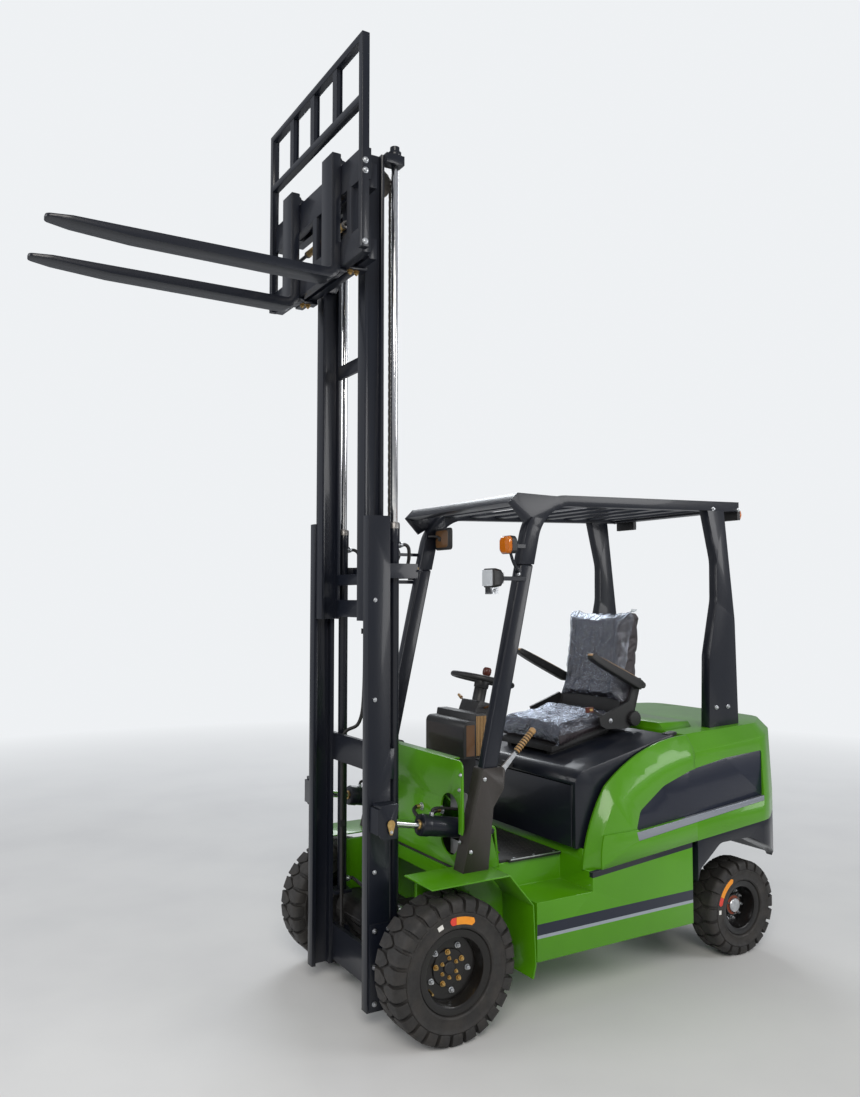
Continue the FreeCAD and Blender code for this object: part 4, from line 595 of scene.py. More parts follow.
# Each kind: lugs in a row; radii of the side wall's ring, the rim's flange and the inside of its barrel; depth of
# the disc; radius and rise of the hub; radius of its cap
WHEELS = {"front": (26, 0.225, 0.160, 0.126, 0.072, 0.072, 0.006, 0.0245),
          "rear": (20, 0.179, 0.126, 0.094, 0.087, 0.0505, 0.025, 0.0336)}
# Each label: degrees from +x towards +z at its two ends, material
LABELS = {"front": ((89, 114, ORANGE), (81, 88.7, LABEL_RED), (64, 71, WHITE)),
          "rear": ((27, 66, ORANGE), (12, 26.6, LABEL_RED), (-2, 5, WHITE))}
LABEL_STEPS = 10
TYRE_STEPS = 104


class Wheel:
    """A wheel's middle and sizes, from its tyre's box; depths are counted in from its outer face."""

    def __init__(self, kind, side_name):
        low, high = near(f"{kind}_tyre_{side_name}")
        self.kind = kind
        self.side_name = side_name
        self.body = f"{kind}_wheel_{side_name}"
        self.side = SIDES[side_name]
        self.x = (low.x + high.x) / 2
        self.z = (low.z + high.z) / 2
        self.radius = (high.z - low.z) / 2
        self.width = high.y - low.y
        self.outside = high.y if self.side > 0 else low.y
        self.lugs, self.ring, self.flange, self.wall, self.dish, self.hub, self.rise, self.cap = WHEELS[kind]

    def point(self, angle, radius, depth):
        return Vector((self.x + radius * math.cos(angle), self.outside - self.side * depth,
                       self.z + radius * math.sin(angle)))

    def turn(self, mesh, profile, steps, ends=True):
        """Adds a profile of (radius, depth) turned about the axle."""
        along = [(r, self.outside - self.side * depth) for r, depth in profile]
        mesh.turned(along, (self.x, 0, self.z), steps=steps, ends=ends)

    def nuts(self, mesh, count, first, radius, depth, size, height, material):
        """Adds a ring of nuts, the first so many degrees from +x."""
        for i in range(count):
            centre = self.point(math.radians(first + 360 * i / count), radius, depth)
            mesh.nut(centre, (0, self.side, 0), size, height, material)


def tyre(wheel):
    """A tyre with a ringed side wall and its lugs."""
    ring, seat, width = wheel.ring, wheel.flange, wheel.width
    tread = wheel.radius - 0.044 * wheel.radius
    # Each: radius, depth
    wall = [(seat + 0.0006, 0.020), (seat + 0.003, 0.009), (seat + 0.010, 0.0045),
            (seat + 0.3 * (ring - seat), 0.0065), (seat + 0.7 * (ring - seat), 0.0060), (ring - 0.008, 0.0035),
            (ring - 0.0045, 0.0012), (ring - 0.0015, 0.0010), (ring, 0.0045), (ring + 0.010, 0.0110),
            (tread - 0.012, 0.0165), (tread - 0.003, 0.024), (tread, 0.040)]
    mesh = Mesh(RUBBER)
    wheel.turn(mesh, wall + [(r, width - depth) for r, depth in wall[::-1]], TYRE_STEPS, ends=False)
    wheel.turn(mesh, [(seat + 0.0006, 0.020), (seat + 0.0006, width - 0.020)], TYRE_STEPS, ends=False)
    lugs(mesh, wheel)
    node = f"{wheel.kind}_tyre_{wheel.side_name}"
    mesh.place(node + "_tread", wheel.body, bevel=0.0018, slot="tyre", replaces=[node])


def lugs(mesh, wheel):
    """Two rows of blunt, pointed lugs, half a pitch apart, that reach past the middle of the tread."""
    radius, ring, width = wheel.radius, wheel.ring, wheel.width
    foot = radius - 0.022
    # Each station over the shoulder: radius and depth of the lug's face, of its foot, share of the pitch it fills
    stations = [
        (ring + 0.0015, 0.0030, ring + 0.0015, 0.0140, 0.78), (ring + 0.008, 0.0016, ring + 0.006, 0.0160, 0.80),
        (radius - 0.020, 0.0016, radius - 0.030, 0.0240, 0.82),
        (radius - 0.007, 0.0075, radius - 0.026, 0.030, 0.83), (radius - 0.0008, 0.0190, foot, 0.036, 0.85),
        (radius, 0.0260, foot, 0.040, 0.86), (radius, 0.33 * width, foot, 0.33 * width, 0.90),
        (radius - 0.0006, 0.45 * width, foot, 0.45 * width, 0.56),
        (radius - 0.004, 0.535 * width, foot, 0.535 * width, 0.18)]
    pitch = 2 * math.pi / wheel.lugs
    for row in (0, 1):
        for i in range(wheel.lugs):
            rings = []
            for top, top_in, base, base_in, fill in stations:
                outline = []
                for share, r, depth in ((-0.5, base, base_in), (-0.46, top, top_in), (0.46, top, top_in),
                                        (0.5, base, base_in)):
                    angle = math.pi / 2 - (i + row / 2 + share * fill) * pitch
                    outline.append(wheel.point(angle, r, width - depth if row else depth))
                rings.append(outline)
            mesh.rings(rings)


def tyre_labels(wheel):
    """The labels on a new tyre: a long one in two colours with rounded ends, and a short white one."""
    span = wheel.ring - wheel.flange
    mesh = Mesh(ORANGE)
    for first, last, material in LABELS[wheel.kind]:
        rings = []
        for i in range(LABEL_STEPS + 1):
            share = i / LABEL_STEPS
            to_end = (1 - share if material is ORANGE else share) * abs(last - first)
            reach = 0.22 * span * (0.62 if material is WHITE else math.sqrt(min(1.0, to_end / 2.6 + 0.05)))
            angle = math.radians(first + (last - first) * share)
            rings.append([wheel.point(angle, wheel.flange + 0.54 * span + across, depth) for across, depth in
                          ((-reach, 0.0045), (reach, 0.0045), (reach, 0.0068), (-reach, 0.0068))])
        mesh.rings(rings, material)
    mesh.place(f"{wheel.kind}_tyre_{wheel.side_name}_labels", wheel.body, slot="rubber_mat")


def rim(wheel):
    """A deep dished rim: rolled flanges, a drop in the barrel, the wheel disc and the hub behind it."""
    wall, flange, dish, hub, width = wheel.wall, wheel.flange, wheel.dish, wheel.hub, wheel.width
    roll = [(flange - 0.0015, 0.0146), (flange, 0.0166), (flange, 0.0200), (flange - 0.0015, 0.0216)]
    # Each: radius, depth
    barrel = roll + [(wall + 0.0100, 0.0222), (wall + 0.0100, width - 0.0222)]
    barrel += [(r, width - depth) for r, depth in roll[::-1]]
    barrel += [(wall + 0.0140, width - 0.0150), (wall + 0.0030, width - 0.0240), (wall, width - 0.0340),
               (wall - 0.0010, dish + 0.0100), (wall - 0.0035, dish - 0.0040), (wall - 0.0030, dish - 0.0140),
               (wall + 0.0005, dish - 0.0190), (wall + 0.0010, 0.0300), (wall + 0.0040, 0.0200),
               (wall + 0.0130, 0.0156), roll[0]]
    front = dish - wheel.rise
    disc = [(hub - 0.004, width), (hub, width - 0.004), (hub, dish + 0.0130), (wall, dish + 0.0110),
            (wall, dish + 0.0010), (wall - 0.0080, dish - 0.0012), (wall - 0.0120, dish), (hub + 0.0010, dish),
            (hub, dish - 0.001), (hub, front + 0.002), (hub - 0.0020, front), (0.0, front)]
    mesh = Mesh(RIM)
    wheel.turn(mesh, barrel, 72, ends=False)
    wheel.turn(mesh, disc, 72)
    node = f"{wheel.kind}_rim_{wheel.side_name}"
    mesh.place(node + "_dish", wheel.body, slot="rim_paint", replaces=[node])


def hub_nuts(wheel):
    """Wheel nuts and the hub's bolts; the rear hub stands out in primer under a plated cap."""
    mesh = Mesh(ZINC)
    disc = Vector((wheel.x, wheel.outside - wheel.side * wheel.dish, wheel.z))
    face = disc + Vector((0, wheel.side * wheel.rise, 0))
    axis = (0, wheel.side, 0)
    front = wheel.dish - wheel.rise
    if wheel.kind == "front":
        wheel.nuts(mesh, 5, 46, 0.0880, wheel.dish, 0.0092, 0.012, ZINC)
        wheel.nuts(mesh, 5, 11, 0.0620, front, 0.0088, 0.010, BRASS)
        wheel.nuts(mesh, 6, 30, 0.0365, front, 0.0062, 0.008, BRASS)
        mesh.turned([(wheel.cap, 0.0), (wheel.cap, 0.0050), (wheel.cap - 0.003, 0.0075), (0.0, 0.0080)],
                    face, axis, 32, UNDER)
        valve = disc + Vector((0.086, 0, -0.070))
        mesh.bar(valve, valve + Vector((0.004, wheel.side * 0.034, -0.004)), 0.0045, material=BRASS)
    else:
        wheel.nuts(mesh, 10, 8, 0.0680, wheel.dish, 0.0078, 0.014, ZINC)
        mesh.turned([(wheel.hub, 0.0), (wheel.hub, 0.018), (0.0470, 0.0225), (0.0440, 0.0250), (0.0335, 0.0252)],
                    disc, axis, 40, PRIMER)
        mesh.turned([(wheel.cap, 0.0), (wheel.cap, 0.0090), (0.0310, 0.0120), (0.0240, 0.0130), (0.0, 0.0136)],
                    face, axis, 40, ZINC)
        wheel.nuts(mesh, 3, 20, 0.0420, front, 0.0045, 0.005, STEEL)
    mesh.place(f"{wheel.kind}_hub_{wheel.side_name}_fittings", wheel.body, bevel=0.0006, slot="zinc_steel")


def wheels():
    for side_name in SIDES:
        for kind in WHEELS:
            wheel = Wheel(kind, side_name)
            for make in (tyre, tyre_labels, rim, hub_nuts):
                make(wheel)


# Seat

# The cloth under the cushions' covers: its stiffness and the frames in which it swells
CLOTH_STIFFNESS = 12
CLOTH_BENDING = 0.4
CLOTH_PRESSURE = 4.0
CLOTH_FRAMES = 20
CLOTH_CELL = 0.0065
SEAM_DEPTH = 0.006
SEAM_WIDTH = 0.007
CUSHION_STEPS = 12
# The cushions' side outlines as (x, z), their half widths, and the y of their seams
CUSHION = [(-0.762, 1.030), (-0.755, 1.062), (-0.764, 1.092), (-0.792, 1.104), (-0.860, 1.108), (-0.960, 1.120),
           (-1.060, 1.146), (-1.104, 1.154), (-1.122, 1.136), (-1.124, 1.116), (-1.060, 1.106), (-0.900, 1.064)]
CUSHION_HALF = 0.240
CUSHION_SEAM_Y = 0.155
BACKREST = [(-1.160, 1.184), (-1.154, 1.204), (-1.178, 1.300), (-1.196, 1.420), (-1.208, 1.540), (-1.216, 1.628),
            (-1.232, 1.648), (-1.262, 1.646), (-1.280, 1.625), (-1.276, 1.480), (-1.262, 1.330), (-1.252, 1.215),
            (-1.238, 1.188)]
BACKREST_HALF = 0.228
BACKREST_SEAM_Y = 0.150
# How far the films stand off the pads
FILM_LIFT = 0.0016


def swell(piece, cap):
    """Blows a closed mesh up a little as cloth under pressure; no point moves more than cap."""
    remesh = piece.modifiers.new("even cells", "REMESH")
    remesh.mode = "VOXEL"
    remesh.voxel_size = CLOTH_CELL
    settle(piece)
    before = [v.co.copy() for v in piece.data.vertices]
    cloth = piece.modifiers.new("cloth", "CLOTH")
    cloth.settings.use_pressure = True
    cloth.settings.uniform_pressure_force = CLOTH_PRESSURE
    cloth.settings.effector_weights.gravity = 0
    cloth.settings.quality = 4
    cloth.settings.tension_stiffness = CLOTH_STIFFNESS
    cloth.settings.compression_stiffness = CLOTH_STIFFNESS
    cloth.settings.bending_stiffness = CLOTH_BENDING
    cloth.collision_settings.use_collision = False
    cloth.point_cache.frame_start = 1
    cloth.point_cache.frame_end = CLOTH_FRAMES
    for number in range(1, CLOTH_FRAMES + 1):
        bpy.context.scene.frame_set(number)
    settle(piece)
    bpy.context.scene.frame_set(1)
    for vertex, start in zip(piece.data.vertices, before):
        move = vertex.co - start
        if move.length > cap:
            vertex.co = start + move * (cap / move.length)


def settle(piece):
    """Takes a piece's modifiers into its mesh."""
    graph = bpy.context.evaluated_depsgraph_get()
    done = bpy.data.meshes.new_from_object(piece.evaluated_get(graph))
    piece.modifiers.clear()
    old = piece.data
    piece.data = done
    bpy.data.meshes.remove(old)


def press(piece, lines):
    """Presses sewn channels into a cushion: each line gives a point's distance from its seam, or None."""
    normals = [v.normal.copy() for v in piece.data.vertices]
    for vertex, normal in zip(piece.data.vertices, normals):
        here = vertex.co - SHIFT
        away = [abs(d) for d in (line(here) for line in lines) if d is not None]
        if away:
            vertex.co = vertex.co - normal * SEAM_DEPTH * math.exp(-(min(away) / SEAM_WIDTH) ** 2)


def cushion(name, node, outline, half, lines, cap):
    """A padded cushion of a side outline, swollen and with its channels sewn."""
    shares = [2 * i / CUSHION_STEPS - 1 for i in range(CUSHION_STEPS + 1)]
    rings = [[(px, half * share, pz) for px, pz in outline] for share in shares]
    piece = Mesh(LEATHER).rings(rings).place(name, "hood_lid", ride=False)
    swell(piece, cap)
    press(piece, lines)
    piece.data.shade_smooth()
    piece.data.materials.clear()
    piece.data.materials.append(LEATHER)
    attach(piece, "hood_lid")
    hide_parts(node)
    finer = piece.modifiers.new("finer", "SUBSURF")
    finer.levels = finer.render_levels = 1
    return piece


def film_over(name, pad, grid, rows, columns, crinkle, grain, seed):
    """Lays a sheet of crinkled film over a pad: grid gives a point outside the pad for each place of the sheet."""
    tree = BVHTree.FromObject(pad, bpy.context.evaluated_depsgraph_get())
    points = []
    for i in range(rows + 1):
        for j in range(columns + 1):
            guide, hold = grid(i / rows, j / columns)
            guide = Vector(guide) + SHIFT
            foot = tree.find_nearest(guide)[0]
            out = (guide - foot).normalized()
            wave = noise.noise(guide * 34 + Vector((seed, 0, 0)))
            fold = abs(noise.noise(Vector([g * c for g, c in zip(grain, guide)]) + Vector((0, seed, 0))))
            lift = FILM_LIFT + crinkle * (0.5 * wave + 0.9 * fold)
            points.append(foot.lerp(guide, hold) + out * lift - SHIFT)
    across = columns + 1
    faces = [(i * across + j, i * across + j + 1, (i + 1) * across + j + 1, (i + 1) * across + j)
             for i in range(rows) for j in range(columns)]
    sheet = Mesh(FILM).add(points, faces).place(name, "hood_lid", slot="lamp", ride=False, angle=math.pi)
    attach(sheet, "hood_lid")
    return sheet


def over_cushion(i, j):
    """Down the front, over the top and to the foot of the backrest; its sides hang down a little."""
    edge = max(0.0, abs(2 * j - 1) - 0.84) / 0.16
    y = (0.262 if j > 0.5 else -0.262) if edge > 0 else (2 * j - 1) * 0.285
    if i < 0.22:
        share = i / 0.22
        return (-0.735, y, 1.025 + 0.085 * share), 0.08 if share > 0.1 or j < 0.9 else 0.5
    share = (i - 0.22) / 0.78
    return (-0.745 - 0.345 * share, y, 1.150 + 0.030 * share - 0.075 * edge), 0.03


def over_back(i, j):
    """From the foot of the backrest up its front and over its top edge."""
    edge = max(0.0, abs(2 * j - 1) - 0.86) / 0.14
    y = (0.250 if j > 0.5 else -0.250) if edge > 0 else (2 * j - 1) * 0.272
    if i < 0.86:
        share = i / 0.86
        return (-1.120 - 0.055 * share - 0.060 * edge, y, 1.195 + 0.440 * share), 0.03
    share = (i - 0.86) / 0.14
    corner = max(0.0, (j - 0.80) / 0.20) ** 2
    return (-1.200 - 0.060 * share, y, 1.668 + 0.010 * corner), 0.05 + 0.35 * corner


def seat():
    """The padded cushion and backrest, each under its film."""
    pad = cushion("seat_cushion_pad", "seat_cushion", CUSHION, CUSHION_HALF, [
        lambda p: abs(p.y) - CUSHION_SEAM_Y if p.z > 1.085 else None,
        lambda p: p.x + 0.835 if p.z > 1.085 and abs(p.y) < CUSHION_SEAM_Y else None], 0.024)
    back = cushion("seat_back_pad", "seat_back", BACKREST, BACKREST_HALF, [
        lambda p: abs(p.y) - BACKREST_SEAM_Y if p.x > -1.235 else None,
        lambda p: p.z - 1.300 if p.x > -1.225 and abs(p.y) < BACKREST_SEAM_Y else None], 0.026)
    lower = film_over("seat_cushion_film", pad, over_cushion, 90, 104, 0.0060, (22, 26, 22), 3.0)
    upper = film_over("seat_back_film", back, over_back, 96, 104, 0.0095, (12, 38, 5), 7.0)


# The recline hinge's middle in x and z, and the y of its inner face
RECLINE = (-1.187, 1.133)
RECLINE_SIDE = 0.2565
KNOB_RIDGES = 18


def seat_fittings():
    """Hinge covers with ridged recline knobs, the bracket between them, and the belt's buckle."""
    mesh = Mesh(PLASTIC)
    x, z = RECLINE
    for side in SIDES.values():
        axis = (0, side, 0)
        inner = side * RECLINE_SIDE
        outer = inner + side * 0.014
        mesh.push_y([(-0.985, 1.110), (-0.975, 1.150), (-1.080, 1.185), (-1.165, 1.215), (-1.195, 1.190),
                     (-1.190, 1.105), (-1.150, 1.088), (-1.020, 1.092)], (inner, outer))
        mesh.turned([(0.035, 0.0), (0.035, 0.014), (0.0325, 0.019), (0.012, 0.021), (0.0, 0.021)],
                    (x, outer, z), axis, 32)
        for turn in range(KNOB_RIDGES):
            angle = 2 * math.pi * turn / KNOB_RIDGES
            foot = Vector((x + 0.0348 * math.cos(angle), inner + side * 0.015, z + 0.0348 * math.sin(angle)))
            mesh.bar(foot, foot + Vector((0, side * 0.014, 0)), 0.0026, 8)
        mesh.nut((-1.045, outer, 1.130), axis, 0.009, 0.006, ZINC)
    mesh.push_y([(-1.150, 1.086), (-1.142, 1.150), (-1.158, 1.224), (-1.182, 1.224), (-1.166, 1.150),
                 (-1.172, 1.086)], (-0.215, 0.215))
    mesh.place("seat_recline", "hood_lid", bevel=0.0018, slot="black_plastic")
    belt = Mesh(BELT)
    belt.push([(-1.080, 0.2620, 1.110), (-1.060, 0.2620, 1.110), (-0.930, 0.2660, 1.178),
               (-0.940, 0.2660, 1.192)], (0, 0.0025, 0))
    belt.block((-0.938, -0.900), (0.258, 0.274), (1.176, 1.200), OXBLOOD)
    belt.block((-0.932, -0.914), (0.2735, 0.2760), (1.183, 1.194), BRASS)
    belt.place("seat_belt_buckle", "hood_lid", bevel=0.0012, slot="black_plastic")


# The armrest's side outline in x and z: its top from front to back, and its underside back again
ARMREST_TOP = [(-0.912, 1.446), (-0.925, 1.452), (-1.020, 1.408), (-1.130, 1.358), (-1.228, 1.312), (-1.236, 1.300)]
ARMREST_UNDER = [(-1.214, 1.268), (-1.130, 1.308), (-1.020, 1.362), (-0.924, 1.414), (-0.909, 1.430)]
ARMREST_MIDDLE = (-1.07, 1.365)
ARMREST_INNER = 0.2575


def armrests():
    """Dark moulded armrests with padded tops, their tan painted sunlight."""
    inner, outer = ARMREST_INNER, near("armrests")[1].y - 0.001
    for side_name, side in SIDES.items():
        mesh = Mesh(PLASTIC)
        rings = []
        for y, draw in ((inner, 0.010), (inner + 0.006, 0.0), (outer - 0.006, 0.0), (outer, 0.010)):
            middle = Vector((ARMREST_MIDDLE[0], side * y, ARMREST_MIDDLE[1]))
            edge = [Vector((x, side * y, z)) for x, z in ARMREST_TOP + ARMREST_UNDER]
            rings.append([point + (middle - point).normalized() * draw for point in edge])
        mesh.rings(rings)
        mesh.bar((-1.232, side * 0.2565, 1.290), (-1.232, side * 0.300, 1.290), 0.016)
        mesh.place(f"armrest_{side_name}", "hood_lid", bevel=0.004, slot="black_plastic",
                   replaces=["armrests"] if side_name == "left" else (), subdivide=1)
        rings = []
        for share in (0.0, 0.08, 0.5, 0.92, 1.0):
            y = inner + 0.003 + (outer - inner - 0.006) * share
            rise = 0.0035 * math.sin(math.pi * min(max(share, 0.02), 0.98)) + 0.0005
            rings.append([(x, side * y, z + rise) for x, z in ARMREST_TOP[:-1]]
                         + [(x + 0.004, side * y, z - 0.007) for x, z in ARMREST_TOP[:-1][::-1]])
        # Painted light: the pads' tan stands for sunlight falling on their tops
        pad = Mesh(SUNLIT_TAN).rings(rings)
        pad = pad.place(f"armrest_top_{side_name}", "hood_lid", slot="seat_vinyl", subdivide=1)


# Controls

BRAKE_Y = 0.330
BRAKE_PIVOT = (-0.375, 0.972)
GRIP_RIBS = 8


def brake_lever():
    """The parking brake: bracket, plated link and ribbed grip."""
    y = BRAKE_Y
    x, z = BRAKE_PIVOT
    foot, end = Vector((-0.449, y, 1.043)), Vector((-0.542, y, 1.130))
    mesh = Mesh(PLASTIC)
    mesh.block((-0.289, -0.256), (y - 0.005, 0.3864), (0.953, 0.991))
    mesh.push_y([(-0.389, 0.960), (-0.256, 0.960), (-0.256, 0.984), (-0.378, 0.986)], (y - 0.005, y + 0.005))
    for side in SIDES.values():
        mesh.nut((x, y + side * 0.005, z), (0, side, 0), 0.009, 0.010, ZINC)
    mesh.push_y([(x - 0.010, z - 0.008), (x + 0.010, z + 0.008), (foot.x + 0.007, foot.z + 0.006),
                 (foot.x - 0.007, foot.z - 0.006)], (y - 0.004, y + 0.004), ZINC)
    along = (end - foot).normalized()
    length = (end - foot).length
    mesh.turned([(0.0085, -0.004), (0.0105, 0.0), (0.0105, length - 0.016)], foot, along, 24, PLASTIC)
    # Painted light: the grip's tan ribs and end stand for sunlight on dark plastic
    for i in range(GRIP_RIBS):
        start = 0.003 + i * (length - 0.020) / GRIP_RIBS
        mesh.turned([(0.0100, start), (0.0148, start + 0.0015), (0.0152, start + 0.0045),
                     (0.0142, start + 0.0082), (0.0100, start + 0.0092)], foot, along, 28, SUNLIT_TAN)
    mesh.turned([(0.0100, length - 0.018), (0.0148, length - 0.014), (0.0155, length - 0.006),
                 (0.0148, length + 0.002), (0.0080, length + 0.0072), (0.0, length + 0.0078)],
                foot, along, 28, SUNLIT_TAN)
    mesh.place("parking_brake_lever", "truck", bevel=0.0006, slot="black_plastic", replaces=["parking_brake"])


# The x of the console's front and back, the ribs on each cheek, and the y of its three levers
CONSOLE_FRONT = -0.289
CONSOLE_BACK = -0.411
CHEEK_RIBS = 7
LEVERS_Y = (-0.096, -0.124, -0.152)


def console_fittings():
    """The console's gloss front and its ribbed cheeks with their plates; the cheeks' tan and bronze are painted
    sunlight on the dark plastic.
    """
    front, back = CONSOLE_FRONT, CONSOLE_BACK
    mesh = Mesh(GLOSS)
    mesh.push_y([(front, 1.008), (front + 0.0012, 1.014), (front + 0.0012, 1.130), (front, 1.136)],
                (-0.158, 0.158))
    mesh.place("console_front_cover", "truck", bevel=0.0008, slot="navy_paint")
    # Painted light: the cheeks' tan ribs and bronze plates stand for sunlight on dark plastic
    ribs = Mesh(SUNLIT_TAN)
    for side in SIDES.values():
        for i in range(CHEEK_RIBS):
            x = back + 0.006 + 0.0078 * i
            ribs.block((x, x + 0.0044), (side * 0.1642, side * 0.1668), (1.010, 1.184))
        ribs.block((back + 0.066, front - 0.012), (side * 0.1641, side * 0.1650), (1.010, 1.146), SUNLIT_BRONZE)
    ribs.place("console_cheeks", "truck", bevel=0.0009, slot="black_plastic")


def console_dash():
    """The driver's side of the console: screen, four buttons, stop button and key."""
    back = CONSOLE_BACK
    mesh = Mesh(PLASTIC)
    mesh.block((back - 0.0012, back + 0.001), (-0.150, -0.088), (1.118, 1.176), GLASS_DARK)
    button = [(0.0070, 0.0), (0.0070, 0.0022), (0.0055, 0.0034), (0.0, 0.0036)]
    for i, material in enumerate((OXBLOOD, WHITE, AMBER_PLAIN, GREEN)):
        mesh.turned(button, (back, 0.092 + 0.017 * i, 1.160), (-1, 0, 0), 20, material)
    mesh.turned([(0.0130, 0.0), (0.0130, 0.004), (0.0175, 0.005), (0.0175, 0.016), (0.0150, 0.021), (0.0, 0.022)],
                (back, 0.118, 1.118), (-1, 0, 0), 28, LABEL_RED)
    mesh.turned([(0.0110, 0.0), (0.0110, 0.003), (0.0080, 0.006), (0.0, 0.006)],
                (back, 0.092, 1.090), (-1, 0, 0), 24, ZINC)
    mesh.block((back - 0.022, back - 0.004), (0.0905, 0.0935), (1.084, 1.096), ZINC)
    mesh.place("console_dash", "truck", bevel=0.0008, slot="black_plastic")


def column_stalks():
    """The stalks and the cable on the column, and the knobs and boots of the three levers."""
    mesh = Mesh(PLASTIC)
    for side in SIDES.values():
        foot = Vector((-0.462, side * 0.068, 1.205))
        end = Vector((-0.478, side * 0.150, 1.232))
        # Painted light: the stalks' bronze and tan stand for sunlight on dark plastic
        mesh.bar(foot, end, 0.0048, material=SUNLIT_BRONZE)
        mesh.bar(end, end + (end - foot).normalized() * 0.036, 0.0085, material=SUNLIT_TAN, far_radius=0.0072)
    mesh.tube([(-0.440, 0.060, 1.080), (-0.452, 0.078, 1.120), (-0.470, 0.076, 1.160), (-0.474, 0.060, 1.200)],
              0.0050)
    knob = [(0.006, -0.016), (0.0100, -0.010), (0.0128, 0.0), (0.0122, 0.007), (0.0070, 0.0122), (0.0, 0.0131)]
    boot = [(0.0145, 0.0), (0.0138, 0.004), (0.0105, 0.009), (0.0112, 0.013), (0.0070, 0.018), (0.0056, 0.020)]
    for y in LEVERS_Y:
        # Painted light: the knobs' tan stands for sunlight on dark plastic
        mesh.turned(knob, (-0.454, y, 1.138), (-0.3, 0, 0.95), 24, SUNLIT_TAN)
        mesh.turned(boot, (-0.427, y, 1.071), (-0.5, 0, 0.86), 20)
    mesh.place("column_stalks", "truck", bevel=0.0005, slot="black_plastic")


WHEEL_CENTRE = Vector((-0.499, 0, 1.328))
WHEEL_LEAN = math.radians(14)
SPINNER_ANGLE = math.radians(140)
SPINNER_RADIUS = 0.139


def steering_fittings():
    """The steering wheel's cap and its spinner knob."""
    axis = Vector((-math.sin(WHEEL_LEAN), 0, math.cos(WHEEL_LEAN)))
    across = Vector((0, 1, 0))
    up = axis.cross(across)
    mesh = Mesh(PLASTIC)
    mesh.turned([(0.0345, -0.030), (0.0345, 0.004), (0.0310, 0.0105), (0.0220, 0.0130), (0.0, 0.0140)],
                WHEEL_CENTRE, axis, 40)
    foot = WHEEL_CENTRE + (across * math.cos(SPINNER_ANGLE) + up * math.sin(SPINNER_ANGLE)) * SPINNER_RADIUS
    mesh.turned([(0.0095, 0.010), (0.0095, 0.026), (0.0160, 0.0285), (0.0205, 0.036), (0.0215, 0.048),
                 (0.0202, 0.060), (0.0140, 0.0680), (0.0, 0.0700)], foot, axis, 36, OXBLOOD)
    mesh.place("steering_cap_and_spinner", "steering", bevel=0.0008, slot="black_plastic")


# Lamps and mirror

HEAD_LAMP = (-0.190, 0.499, 1.790)
TURN_LAMP = (-0.270, 0.499, 1.928)
REAR_LAMP_WIDTH = 0.140
# The y of the guard pillars' outer faces
GUARD_SIDE = 0.4514


def cut_frames(y, z, half_y, half_z, cut, stations):
    """Upright rings with cut corners about (y, z): each station gives its x and how much it grows."""
    rings = []
    for x, grow in stations:
        a, b = half_y + grow, half_z + grow
        rings.append([(x, y + u, z + v) for u, v in (
            (-a + cut, -b), (a - cut, -b), (a, -b + cut), (a, b - cut), (a - cut, b), (-a + cut, b), (-a, b - cut),
            (-a, -b + cut))])
    return rings


def place_lamp(mesh, kind, side_name, bevel, slot):
    """Makes one lamp of a pair; the left one stands for the pair's CAD node."""
    mesh.place(f"{kind}_{side_name}", "truck", bevel=bevel, slot=slot,
               replaces=[kind + "s"] if side_name == "left" else ())


def head_lamp(side_name):
    """A square work lamp: finned housing, six reflector cells behind clear glass, and its brackets."""
    side = SIDES[side_name]
    x, y, z = HEAD_LAMP
    y *= side
    mesh = Mesh(PLASTIC)
    mesh.rings(cut_frames(y, z, 0.042, 0.039, 0.010, (
        (x - 0.060, -0.016), (x - 0.046, -0.006), (x - 0.016, 0.0), (x - 0.004, 0.0), (x - 0.001, -0.003))))
    for i in range(-3, 4):
        fin = z + 0.00675 * i
        mesh.block((x - 0.0625, x - 0.050), (y - 0.025, y + 0.025), (fin - 0.0012, fin + 0.0012))
    mesh.block((x - 0.0025, x + 0.0002), (y - 0.034, y + 0.034), (z - 0.031, z + 0.031), PLATE_GREY)
    cell = [(0.0098, 0.0008), (0.0094, 0.0034), (0.0070, 0.0036), (0.0036, 0.0016), (0.0, 0.0014)]
    for u in (-0.022, 0.0, 0.022):
        for v in (-0.016, 0.016):
            mesh.turned(cell, (x, y + u, z + v), (1, 0, 0), 24, CHROME)
    mesh.block((x + 0.0036, x + 0.0048), (y - 0.036, y + 0.036), (z - 0.033, z + 0.033), CLEAR)
    mesh.push_y([(x - 0.050, z - 0.037), (x - 0.012, z - 0.037), (x - 0.020, z - 0.062), (x - 0.044, z - 0.062)],
                (y - 0.006, y + 0.006), ZINC)
    mesh.nut((x - 0.032, y + side * 0.006, z - 0.050), (0, side, 0), 0.0075, 0.007, ZINC)
    plate = (side * GUARD_SIDE, side * 0.4555)
    mesh.block((x - 0.225, x - 0.018), plate, (z - 0.009, z + 0.009), DARK)
    mesh.block((x - 0.046, x - 0.018), (plate[1], y + side * 0.006), (z - 0.065, z - 0.060), ZINC)
    mesh.block((x - 0.046, x - 0.018), plate, (z - 0.066, z + 0.009), DARK)
    place_lamp(mesh, "head_lamp", side_name, 0.0008, "lamp")


